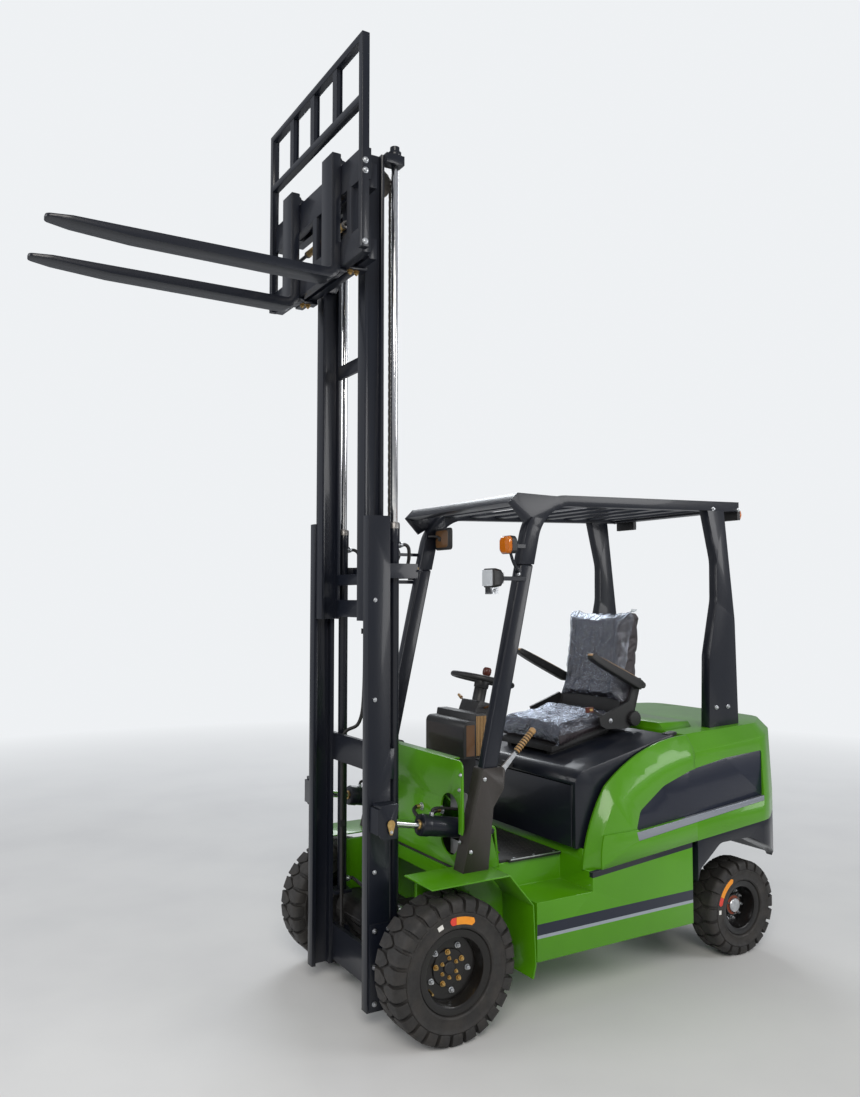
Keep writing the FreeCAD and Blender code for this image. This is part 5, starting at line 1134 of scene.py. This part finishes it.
def turn_lamp(side_name):
    """An amber turn lamp in a dark shell on a curved bracket."""
    side = SIDES[side_name]
    x, y, z = TURN_LAMP
    y *= side
    mesh = Mesh(PLASTIC)
    mesh.rings(cut_frames(y, z, 0.041, 0.038, 0.012, (
        (x - 0.050, -0.014), (x - 0.038, -0.002), (x - 0.014, 0.0))))
    mesh.rings(cut_frames(y, z, 0.041, 0.038, 0.012, (
        (x - 0.014, -0.002), (x - 0.006, -0.003), (x - 0.001, -0.008), (x - 0.0002, -0.016))), AMBER)
    mesh.tube([(x - 0.034, y, z - 0.036), (x - 0.050, y - side * 0.004, z - 0.070),
               (x - 0.078, y - side * 0.018, z - 0.098), (x - 0.100, side * 0.462, z - 0.110)],
              0.0065, material=DARK)
    mesh.block((x - 0.118, x - 0.086), (side * GUARD_SIDE, side * 0.4600), (z - 0.128, z - 0.092), DARK)
    mesh.nut((x - 0.102, side * 0.4600, z - 0.118), (0, side, 0), 0.0065, 0.006, ZINC)
    bracket = (z - 0.008, z + 0.008)
    mesh.block((x - 0.144, x - 0.030), (side * GUARD_SIDE, side * 0.4560), bracket, DARK)
    mesh.block((x - 0.046, x - 0.030), (side * 0.4560, y - side * 0.030), bracket, DARK)
    place_lamp(mesh, "turn_lamp", side_name, 0.001, "amber_lens")


def rear_lamp(side_name):
    """A rear cluster of three lenses in a dark tray."""
    side = SIDES[side_name]
    low, high = near("rear_lamps")
    y0, y1 = high.y - REAR_LAMP_WIDTH, high.y
    mesh = Mesh(PLASTIC)
    mesh.block((low.x + 0.012, high.x), (side * y0, side * y1), (low.z, high.z))
    edges = [y0 + 0.005, y0 + 0.046, y0 + 0.090, y1 - 0.005]
    # Each corner of a lens: x from the lamp's back, how far its start is drawn in, z
    profile = [(0.012, 0.001, low.z + 0.005), (0.003, 0.003, low.z + 0.009), (0.0, 0.006, (low.z + high.z) / 2),
               (0.003, 0.003, high.z - 0.009), (0.012, 0.001, high.z - 0.005)]
    for first, last, material in zip(edges, edges[1:], (CLEAR, RED, AMBER)):
        outline = [(low.x + x, side * (first + draw), z) for x, draw, z in profile]
        mesh.push(outline, (0, side * (last - first - 0.002), 0), material)
    place_lamp(mesh, "rear_lamp", side_name, 0.0015, "red_lens")


MIRROR_DEPTH = 0.024
MIRROR_WIDTH = 0.140
MIRROR_HEIGHTS = (1.950, 2.060)
MIRROR_CORNER = 0.014


def mirror():
    """The mirror: a dark shell with rounded corners, a back panel in painted sunlit bronze and glass that faces the
    driver.
    """
    low = near("mirror")[0]
    x0, x1 = low.x, low.x + MIRROR_DEPTH
    c = MIRROR_CORNER

    def outline(x, draw):
        a, b = low.y + draw, low.y + MIRROR_WIDTH - draw
        d, e = MIRROR_HEIGHTS[0] + draw, MIRROR_HEIGHTS[1] - draw
        return [(x, a + c, d), (x, b - c, d), (x, b - c * 0.3, d + c * 0.3), (x, b, d + c), (x, b, e - c),
                (x, b - c * 0.3, e - c * 0.3), (x, b - c, e), (x, a + c, e), (x, a + c * 0.3, e - c * 0.3),
                (x, a, e - c), (x, a, d + c), (x, a + c * 0.3, d + c * 0.3)]

    mesh = Mesh(PLASTIC)
    mesh.rings([outline(x0, 0.004), outline(x0 + 0.003, 0.0), outline(x1 - 0.008, 0.0), outline(x1 - 0.001, 0.008)])
    # Painted light: the back panel's bronze stands for sunlight on the dark shell
    mesh.rings([outline(x1 - 0.0012, 0.012), outline(x1 - 0.0002, 0.014)], SUNLIT_BRONZE)
    mesh.rings([outline(x0 + 0.001, 0.008), outline(x0, 0.009)], GLASS)
    mesh.tube([(-0.440, -0.395, 2.020), (-0.452, -0.372, 2.020), (-0.470, -0.352, 2.016),
               (-0.480, -0.345, 2.004)], 0.0065)
    mesh.turned([(0.011, -0.010), (0.011, 0.010)], (-0.479, -0.345, 2.006), (0, 0.3, 1), 24)
    mesh.block((-0.452, -0.428), (-0.402, -0.396), (2.004, 2.036), DARK)
    mesh.place("mirror_shell", "truck", bevel=0.0015, slot="black_plastic", replaces=["mirror"])


# Cowl, floor and boots

# The x of the cowl's front face, and the two fittings of its hose as (y, z)
COWL_FACE = -0.112
COWL_PORTS = ((0.100, 0.806), (0.270, 0.824))
# The toe board's lower and upper end in x, and its height at the upper one
TOE_FOOT = -0.415
TOE_TOP = -0.120
TOE_HEIGHT = 0.900
PEDALS_Y = (-0.130, -0.215)
PEDAL_RIBS = 7


def cowl_fittings():
    """The cowl's bolts, the plates behind its slots and the hose between its two fittings."""
    mesh = Mesh(ZINC)
    for side in SIDES.values():
        for y, z in ((0.413, 0.990), (0.404, 0.928), (0.405, 0.720)):
            mesh.nut((COWL_FACE, side * y, z), (1, 0, 0), 0.0070, 0.006)
        for heights in ((0.640, 0.700), (0.825, 0.905)):
            mesh.block((-0.160, -0.157), (side * 0.262, side * 0.388), heights, PLATE_GREY)
    mesh.place("cowl_bolts", "truck", bevel=0.0006, slot="zinc_steel")
    hose = Mesh(HOSE)
    hose.tube([(-0.110, 0.100, 0.806), (-0.082, 0.100, 0.806), (-0.062, 0.118, 0.796), (-0.055, 0.170, 0.780),
               (-0.055, 0.225, 0.786), (-0.060, 0.262, 0.806), (-0.078, 0.270, 0.822), (-0.110, 0.270, 0.824)],
              0.0085)
    for y, z in COWL_PORTS:
        hose.nut((COWL_FACE, y, z), (1, 0, 0), 0.0135, 0.012, ZINC, bolt=False)
        hose.bar((-0.104, y, z), (-0.084, y, z), 0.0105, 12, BRASS)
    hose.place("cowl_hose", "truck", bevel=0.0004, slot="rubber_mat")


def toe_rise(x):
    """The height of the toe board's upper face at x."""
    low = near("floor_mat")[1].z + 0.0003
    return low + (TOE_HEIGHT - low) * (x - TOE_FOOT) / (TOE_TOP - TOE_FOOT)


def pedal_rubbers():
    """Cross ribs on the two pedals."""
    mesh = Mesh(RUBBER)
    slope = Vector((0.085, 0, toe_rise(-0.290) - toe_rise(-0.375))).normalized()
    lift = slope.cross(Vector((0, 1, 0))) * -0.003
    for y in PEDALS_Y:
        start = Vector((-0.372, y - 0.031, toe_rise(-0.372) + 0.0392))
        for i in range(PEDAL_RIBS):
            a = start + slope * (0.006 + 0.0150 * i)
            b = a + slope * 0.009
            mesh.push([a, b, b + lift, a + lift], (0, 0.062, 0))
    mesh.place("pedal_rubbers", "truck", bevel=0.0006, slot="rubber_mat")


def boot_screws():
    """Pan-headed screws at the sides of the pillar boots."""
    mesh = Mesh(ZINC)
    head = [(0.0085, 0.0), (0.0085, 0.0022), (0.0060, 0.0042), (0.0, 0.0046)]
    for side in SIDES.values():
        for x, z in ((-0.197, 0.972), (-0.128, 0.690)):
            mesh.turned(head, (x, side * 0.461, z), (0, side, 0), 20)
    mesh.place("boot_screws", "truck", slot="zinc_steel")


# The studs of the mat: rows along x, rows along y, the corner of their grid and its steps
STUDS = (17, 21)
STUD_CORNER = (-0.648, -0.320)
STUD_STEPS = (0.0225, 0.032)


def floor_details():
    """The mat's edge strips with their screws, and rows of studs."""
    top = near("floor_mat")[1].z
    mesh = Mesh(ZINC)
    head = [(0.0062, 0.0), (0.0062, 0.0014), (0.0040, 0.0026), (0.0, 0.0028)]
    for side in SIDES.values():
        mesh.block((-0.660, -0.392), (side * 0.3655, side * 0.3679), (top - 0.006, top + 0.0016))
        for x in (-0.420, -0.525, -0.635):
            mesh.turned(head, (x, side * 0.352, top), (0, 0, 1), 16)
    mesh.place("mat_edge_strip", "truck", bevel=0.0005, slot="zinc_steel")
    studs = Mesh(MAT)
    for i in range(STUDS[0]):
        for j in range(STUDS[1]):
            x = STUD_CORNER[0] + STUD_STEPS[0] * (i + j % 2 / 2)
            y = STUD_CORNER[1] + STUD_STEPS[1] * j
            if x <= TOE_FOOT - 0.010:
                studs.turned([(0.0060, 0.0), (0.0048, 0.0016), (0.0, 0.0017)], (x, y, top), (0, 0, 1), 10)
    studs.place("mat_studs", "truck", slot="rubber_mat")


# Chains

CHAIN_PITCH = 0.01905
SHEAVE_X = 0.145
SHEAVE_Z = 3.490
CHAIN_OFFSET = 0.071
ANCHOR_Z = 1.830
CARRIAGE_END_Z = 3.1703
PLATE_HALF = 0.0072
# The plates of outer and inner links and the pins, as ranges of y
OUTER_PLATES = ((0.1390, 0.1408), (0.1441, 0.1459), (0.1492, 0.1510))
INNER_PLATES = ((0.1409, 0.1440), (0.1460, 0.1491))
PIN_Y = (0.1384, 0.1516)


def links(points):
    """Chain links between points in the plane of x and z: three outer or two inner plates, and a pin."""
    mesh = Mesh(OILY)
    h = PLATE_HALF
    for i, (a, b) in enumerate(zip(points, points[1:])):
        a, b = Vector((a[0], 0, a[1])), Vector((b[0], 0, b[1]))
        along = (b - a).normalized()
        out = along.cross(Vector((0, 1, 0)))
        tip, side = along * h * 0.75 + out * 0.45 * h, along * 0.45 * h + out * h
        low_tip, low_side = along * h * 0.75 - out * 0.45 * h, along * 0.45 * h - out * h
        outline = [a - low_tip, a - low_side, b + side, b + tip, b + low_tip, b + low_side, a - side, a - tip]
        for y0, y1 in (OUTER_PLATES if i % 2 else INNER_PLATES):
            mesh.push([p + Vector((0, y0, 0)) for p in outline], (0, y1 - y0, 0))
        mesh.bar(a + Vector((0, PIN_Y[0], 0)), a + Vector((0, PIN_Y[1], 0)), 0.0030, 8, STEEL)
    return mesh.mirror()


def chain_run(name, node, x, first, start, end):
    """A straight run of both chains that stretches between start on one body and end on the next."""
    low, high = min(start, end), max(start, end)
    count = round((high - low) / CHAIN_PITCH)
    run = links([(x, low + (high - low) * i / count) for i in range(count + 1)])
    piece = run.place(name, first, slot="chain_steel", replaces=[node], ride=False)
    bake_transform(piece)


def chains():
    """Both lift chains: the run to the anchor, the run to the carriage and the turn over the wheel."""
    chain_run("chain_anchor_links", "anchor_chains", SHEAVE_X - CHAIN_OFFSET,
              "mast_outer", ANCHOR_Z, SHEAVE_Z)
    chain_run("chain_carriage_links", "carriage_chains", SHEAVE_X + CHAIN_OFFSET,
              "mast_inner", SHEAVE_Z, CARRIAGE_END_Z)
    count = round(math.pi * CHAIN_OFFSET / CHAIN_PITCH)
    turns = [math.pi * i / count for i in range(count + 1)]
    over = links([(SHEAVE_X - CHAIN_OFFSET * math.cos(t), SHEAVE_Z + CHAIN_OFFSET * math.sin(t)) for t in turns])
    over.place("chain_over_wheel", "mast_inner", slot="chain_steel")


# Mast

# The lift rods' x and y, the tilt cylinders' y and their two ends as (x, z), and the shift cylinder's x and z
LIFT_ROD = (0.107, 0.243)
TILT_Y = 0.330
TILT_START = (-0.300, 0.730)
TILT_PIN = (0.186, 0.820)
SHIFT_CYLINDER = (0.314, 3.262)
# The pipes of the left side: between the cylinders' feet, down from the yoke, and from the yoke to the cylinder
FOOT_PIPE = [(0.070, 0.243, 0.440), (0.056, 0.232, 0.440), (0.060, 0.150, 0.436), (0.070, 0.060, 0.430),
             (0.074, 0.020, 0.400), (0.082, 0.018, 0.330), (0.100, 0.020, 0.240), (0.124, 0.022, 0.236)]
DOWN_PIPE = [(0.026, 0.110, 1.852), (0.026, 0.110, 1.880), (0.034, 0.113, 1.894), (0.052, 0.118, 1.886),
             (0.058, 0.120, 1.860), (0.058, 0.120, 1.700), (0.060, 0.122, 1.300), (0.070, 0.150, 1.150),
             (0.122, 0.200, 1.090), (0.126, 0.205, 0.900), (0.126, 0.205, 0.300), (0.126, 0.190, 0.262)]
TOP_PIPE = [(0.070, 0.243, 1.930), (0.050, 0.243, 1.930), (0.034, 0.238, 1.915), (0.028, 0.230, 1.880),
            (0.028, 0.222, 1.853)]
CARRIAGE_HOSE = [(0.292, 0.165, 3.286), (0.282, 0.163, 3.302), (0.262, 0.158, 3.318), (0.236, 0.140, 3.330),
                 (0.226, 0.118, 3.344), (0.226, 0.110, 3.400)]


def on_side(side, points):
    return [(x, side * y, z) for x, y, z in points]


def mast_bolts():
    """Bolts of the outer mast, keepers of the tilt pins, and rings and unions of the lift barrels."""
    mesh = Mesh(ZINC)
    x, y = LIFT_ROD
    pin_x, pin_z = TILT_PIN
    keeper = [(pin_x + 0.017 * math.cos(math.radians(t)), pin_z + 0.017 * math.sin(math.radians(t)))
              for t in range(-20, 201, 20)]
    keeper += [(pin_x + dx, pin_z + dz) for dx, dz in ((-0.008, -0.034), (-0.004, -0.041), (0.004, -0.041),
                                                       (0.008, -0.034))]
    for side in SIDES.values():
        axis = (0, side, 0)
        for bolt_x in (0.160, 0.222):
            for z in (0.115, 0.255, 0.395):
                mesh.nut((bolt_x, side * 0.301, z), axis, 0.0085, 0.008)
        for z in (1.700, 1.300, 0.620):
            mesh.nut((0.218, side * 0.291, z), axis, 0.0070, 0.006)
        for bolt_y in (0.060, 0.200):
            mesh.nut((0.020, side * bolt_y, 1.806), (-1, 0, 0), 0.0090, 0.008)
        mesh.push_y(keeper, (side * 0.3681, side * 0.3731), BRASS)
        mesh.nut((pin_x, side * 0.3731, pin_z - 0.030), axis, 0.0055, 0.005)
        mesh.turned([(0.0245, 0.0), (0.0245, 0.020), (0.0215, 0.026), (0.0180, 0.027)], (x, side * y, 1.996),
                    (0, 0, 1), 32, STEEL)
        for z in (0.440, 1.930):
            mesh.bar((x, side * y, z), (0.078, side * y, z), 0.0085, 12, ZINC)
            mesh.nut((0.080, side * y, z), (-1, 0, 0), 0.0115, 0.012, ZINC, bolt=False)
    mesh.place("mast_bolts", "mast_outer", bevel=0.0006, slot="zinc_steel")


def mast_hoses():
    """Pipes of the lift cylinders with their clips, and the hose plate on the yoke."""
    pipes = Mesh(HOSE)
    for side in SIDES.values():
        pipes.tube(on_side(side, FOOT_PIPE), 0.0080, bends=8)
        pipes.tube(on_side(side, DOWN_PIPE), 0.0080, bends=8)
        pipes.bar((0.026, side * 0.110, 1.850), (0.026, side * 0.110, 1.866), 0.0125, 6, ZINC)
        for x, y, z in ((0.059, side * 0.121, 1.560), (0.126, side * 0.205, 0.700)):
            pipes.block((x - 0.011, x + 0.011), (y - 0.011, y + 0.011), (z - 0.012, z + 0.012), PLASTIC)
        pipes.tube(on_side(side, TOP_PIPE), 0.0075)
    pipes.place("mast_hoses", "mast_outer", bevel=0.0004, slot="rubber_mat")
    plate = Mesh(DARK)
    plate.block((0.002, 0.021), (0.015, 0.300), (1.8180, 1.8260))
    for y in (0.052, 0.118, 0.262):
        plate.bar((0.010, y, 1.800), (0.010, y, 1.838), 0.0070, 12, ZINC)
        plate.nut((0.010, y, 1.826), (0, 0, 1), 0.0105, 0.010, BRASS, bolt=False)
    plate.place("hose_plate", "mast_outer", bevel=0.0010, slot="dark_paint")


def mast_head():
    """Bolts on the head brackets, nuts of the chain wheels and the dark caps of the lift rods."""
    mesh = Mesh(ZINC)
    x, y = LIFT_ROD
    cap = [(0.0270, 0.0), (0.0285, 0.002), (0.0285, 0.018), (0.0270, 0.020), (0.0205, 0.0205), (0.0205, 0.041),
           (0.0185, 0.0428), (0.0, 0.0430)]
    for side in SIDES.values():
        for bolt_y in (0.226, 0.260):
            mesh.nut((0.088, side * bolt_y, 3.580), (0, 0, 1), 0.0065, 0.006)
        mesh.nut((SHEAVE_X, side * 0.182, SHEAVE_Z), (0, side, 0), 0.0100, 0.008, bolt=False)
        mesh.turned(cap, (x, side * y, 3.5802), (0, 0, 1), 36, DARK)
    mesh.place("mast_head_bolts", "mast_inner", bevel=0.0006, slot="zinc_steel")


def carriage_fittings():
    """The shift cylinder's brass-coloured barrel and fittings, the chains' end nuts, bar bolts and hoses."""
    mesh = Mesh(BRASS)
    x, z = SHIFT_CYLINDER
    middle = (x, 0, z)
    mesh.turned([(0.0150, -0.200), (0.0153, -0.199), (0.0153, 0.199), (0.0150, 0.200)], middle, (0, 1, 0), 36)
    for side in SIDES.values():
        mesh.turned([(0.0150, 0.184), (0.0158, 0.185), (0.0158, 0.200), (0.0090, 0.2015)], middle,
                    (0, side, 0), 32, STEEL)
        mesh.bar((0.303, side * 0.165, 3.270), (0.290, side * 0.165, 3.290), 0.0070, 12, ZINC)
        mesh.nut((SHEAVE_X + CHAIN_OFFSET, side * 0.145, 3.1700), (0, 0, 1), 0.0095, 0.010, ZINC, bolt=False)
        for y in (0.100, 0.300):
            mesh.nut((0.298, side * y, 3.420), (1, 0, 0), 0.0090, 0.006, ZINC, bolt=False)
    mesh.place("shift_cylinder_fittings", "lift_carriage", bevel=0.0005, slot="zinc_steel")
    hose = Mesh(HOSE)
    for side in SIDES.values():
        hose.tube(on_side(side, CARRIAGE_HOSE), 0.0070)
    hose.place("carriage_hoses", "lift_carriage", slot="rubber_mat")


def shifter_fittings():
    """Bolts of the load backrest, the forks' locking pins, bolts of the lower hooks and the backrest's flats."""
    mesh = Mesh(ZINC)
    knob = [(0.0060, 0.0), (0.0110, 0.003), (0.0115, 0.009), (0.0085, 0.015), (0.0, 0.016)]
    for side in SIDES.values():
        for z in (3.400, 3.360, 3.080):
            mesh.nut((0.370, side * 0.4900, z), (0, side, 0), 0.0100, 0.008)
        for y in (0.245, 0.430):
            mesh.nut((0.350, side * y, 3.4700), (0, 0, 1), 0.0085, 0.008)
        mesh.bar((0.352, side * 0.215, 3.490), (0.352, side * 0.215, 3.512), 0.0075, 16, STEEL)
        mesh.turned(knob, (0.352, side * 0.215, 3.510), (0, 0, 1), 24, UNDER)
        for x in (0.290, 0.318):
            mesh.nut((x, side * 0.250, 3.0500), (0, 0, -1), 0.0105, 0.012, BRASS)
    mesh.place("shifter_bolts", "side_shifter", bevel=0.0007, slot="zinc_steel")
    flats = Mesh(DARK)
    for y in (-0.230, 0.0, 0.230):
        for x in (0.3560, 0.3805):
            flats.block((x, x + 0.0030), (y - 0.020, y + 0.020), (3.6720, 3.8840))
    flats.place("backrest_flats", "side_shifter", bevel=0.0007, slot="dark_paint")


def tilt_fittings():
    """Gland rings, hose unions, rod wipers and hoses of the tilt cylinders."""
    start, end = Vector((TILT_START[0], 0, TILT_START[1])), Vector((TILT_PIN[0], 0, TILT_PIN[1]))
    way = (end - start).normalized()
    up = Vector((-way.z, 0, way.x))
    # Each ring: distance along the cylinder, steps, material and profile
    rings = ((0.300, 40, DARK, [(0.0425, 0.0), (0.0445, 0.002), (0.0445, 0.034), (0.0425, 0.038), (0.0300, 0.0405),
                                (0.0200, 0.0410)]),
             (0.300, 28, BRASS, [(0.0200, 0.040), (0.0200, 0.046), (0.0176, 0.048)]),
             (0.066, 40, UNDER, [(0.0425, 0.0), (0.0440, 0.002), (0.0440, 0.014), (0.0425, 0.016)]))
    unions = (0.095, 0.290)
    mesh = Mesh(UNDER)
    hose = Mesh(HOSE)
    for side in SIDES.values():
        foot = start + Vector((0, side * TILT_Y, 0))
        for distance, steps, material, profile in rings:
            mesh.turned(profile, foot + way * distance, way, steps, material)
        for distance in unions:
            mesh.nut(foot + way * distance + up * 0.040, up, 0.0105, 0.014, ZINC, bolt=False)
        first, last = [foot + way * distance + up * 0.053 for distance in unions]
        hose.tube([first, first + up * 0.014 + way * 0.006, first + up * 0.020 + way * 0.040,
                   last + up * 0.020 - way * 0.040, last + up * 0.014 - way * 0.006, last], 0.0062)
    mesh.place("tilt_cylinder_fittings", "tilt_barrel_pair", bevel=0.0006, slot="dark_paint")
    hose.place("tilt_cylinder_hoses", "tilt_barrel_pair", slot="rubber_mat")


# Body trim

# Each bolt of the guard's rear legs: x, z, radius, height
LEG_BOLTS = ((-1.740, 2.150, 0.0080, 0.007), (-1.560, 2.146, 0.0080, 0.007),
             (-1.640, 1.180, 0.0085, 0.008), (-1.560, 1.180, 0.0085, 0.008))
TOW_PIN_X = -2.000


def body_trim():
    """Bolts of the guard's rear legs, and the tow pin with its ring."""
    mesh = Mesh(ZINC)
    for side in SIDES.values():
        for x, z, radius, height in LEG_BOLTS:
            mesh.nut((x, side * 0.451, z), (0, side, 0), radius, height)
    mesh.place("guard_bolts", "truck", bevel=0.0006, slot="zinc_steel")
    x = TOW_PIN_X
    pin = Mesh(ZINC)
    pin.turned([(0.0150, 0.0), (0.0150, 0.130), (0.0140, 0.133), (0.0, 0.1345)], (x, 0, 0.474), (0, 0, 1), 24)
    pin.tube([(x, 0, 0.606), (x, 0, 0.622), (x, 0.012, 0.632), (x, 0.026, 0.624), (x, 0.024, 0.610)], 0.0042)
    pin.place("tow_pin", "truck", bevel=0.0012, slot="black_plastic")


def hood_trim():
    """The latch handle on the hood's front lip and the stops at its sides."""
    mesh = Mesh(PLASTIC)
    mesh.push([(-0.6418, -0.045, 0.915), (-0.6418, 0.045, 0.915), (-0.6418, 0.040, 0.938),
               (-0.6418, -0.040, 0.938)], (0.010, 0, 0))
    for side in SIDES.values():
        mesh.push_y([(-1.262, 1.074), (-1.205, 1.068), (-1.205, 1.082), (-1.262, 1.089)],
                    (side * 0.440, side * 0.480))
    mesh.place("hood_latch", "hood_lid", bevel=0.002, slot="black_plastic")


# Camera, lights and floor

# Each soft lamp: place, target, width and height, power, colour
LAMPS = {"key": ((3.5, 6.0, 5.5), (-0.6, 0, 1.0), (4.0, 3.0), 330, (1.0, 0.96, 0.90)),
         "side": ((-5.0, 5.5, 3.5), (-0.8, 0, 0.9), (3.0, 3.0), 150, (1, 1, 1)),
         "rim": ((-4.0, -6.0, 6.0), (-0.5, 0, 1.5), (4.0, 3.0), 240, (0.92, 0.96, 1.0)),
         "front": ((7.0, -2.0, 4.0), (0.0, 0, 1.6), (3.0, 4.0), 170, (1, 1, 1))}
SKY = (0.90, 0.93, 1.0)
SKY_STRENGTH = 0.38
FLOOR_HALF = 60


def aimed(name, data, place, way):
    """Puts a camera or a lamp at place, looking along way."""
    made = bpy.data.objects.new(name, data)
    bpy.context.scene.collection.objects.link(made)
    made.location = Vector(place) + SHIFT
    made.rotation_mode = "QUATERNION"
    made.rotation_quaternion = way.to_track_quat("-Z", "Y")
    return made


def camera():
    data = bpy.data.cameras.new("photo_camera")
    data.lens = FOCAL_PIXELS * SENSOR / PHOTO_HEIGHT
    data.sensor_width = SENSOR
    data.clip_end = 200
    turn, rise = math.radians(CAMERA_TURN), math.radians(CAMERA_RISE)
    way = Vector((math.cos(turn) * math.cos(rise), math.sin(turn) * math.cos(rise), math.sin(rise)))
    bpy.context.scene.camera = aimed("photo_camera", data, CAMERA_PLACE, way)


def lamps():
    """Large soft lamps around the truck."""
    for name, (place, target, size, power, colour) in LAMPS.items():
        data = bpy.data.lights.new(name, "AREA")
        data.shape = "RECTANGLE"
        data.size, data.size_y = size
        data.energy = power
        data.color = colour
        aimed(name, data, place, Vector(target) - Vector(place))


def floor_material():
    """A pale floor; the camera sees it fade with distance into the backdrop's colour."""
    s = Surface("pale_floor", (0.70, 0.70, 0.69), 0.7)
    s.colours(s.patches(1.5, 5, 0.4, 0.7), (0.66, 0.66, 0.655))
    far = s.node("ShaderNodeEmission")
    far.inputs["Color"].default_value = (*BACKDROP, 1)
    away = s.node("ShaderNodeVectorMath", operation="LENGTH")
    s.link(s.place(), away.inputs["Vector"])
    share = s.ramp(away.outputs["Value"], *FLOOR_FADE)
    seen = s.times(share, s.node("ShaderNodeLightPath").outputs["Is Camera Ray"])
    s.layered(seen, s.shader.outputs["BSDF"], far.outputs["Emission"])
    return s.material


def studio():
    """A pale floor, and a pale backdrop that the camera sees around a dimmer sky."""
    scene = bpy.context.scene
    scene.view_settings.view_transform = "Standard"
    world = bpy.data.worlds.new("studio")
    scene.world = world
    world.use_nodes = True
    tree = world.node_tree
    sky = tree.nodes["Background"]
    sky.inputs["Color"].default_value = (*SKY, 1)
    sky.inputs["Strength"].default_value = SKY_STRENGTH
    seen = tree.nodes.new("ShaderNodeBackground")
    seen.inputs["Color"].default_value = (*BACKDROP, 1)
    rays = tree.nodes.new("ShaderNodeLightPath")
    mix = tree.nodes.new("ShaderNodeMixShader")
    tree.links.new(rays.outputs["Is Camera Ray"], mix.inputs["Fac"])
    tree.links.new(sky.outputs["Background"], mix.inputs[1])
    tree.links.new(seen.outputs["Background"], mix.inputs[2])
    tree.links.new(mix.outputs["Shader"], tree.nodes["World Output"].inputs["Surface"])
    mesh = bpy.data.meshes.new("floor")
    half = FLOOR_HALF
    mesh.from_pydata([(-half, -half, 0), (half, -half, 0), (half, half, 0), (-half, half, 0)], [], [(0, 1, 2, 3)])
    floor = bpy.data.objects.new("floor", mesh)
    scene.collection.objects.link(floor)
    mesh.materials.append(floor_material())


dress_nodes()
wheels()
seat()
seat_fittings()
armrests()
brake_lever()
console_fittings()
console_dash()
column_stalks()
steering_fittings()
for lamp_side in SIDES:
    head_lamp(lamp_side)
    turn_lamp(lamp_side)
    rear_lamp(lamp_side)
mirror()
cowl_fittings()
pedal_rubbers()
boot_screws()
floor_details()
chains()
mast_bolts()
mast_hoses()
mast_head()
carriage_fittings()
shifter_fittings()
tilt_fittings()
body_trim()
hood_trim()
camera()
lamps()
studio()
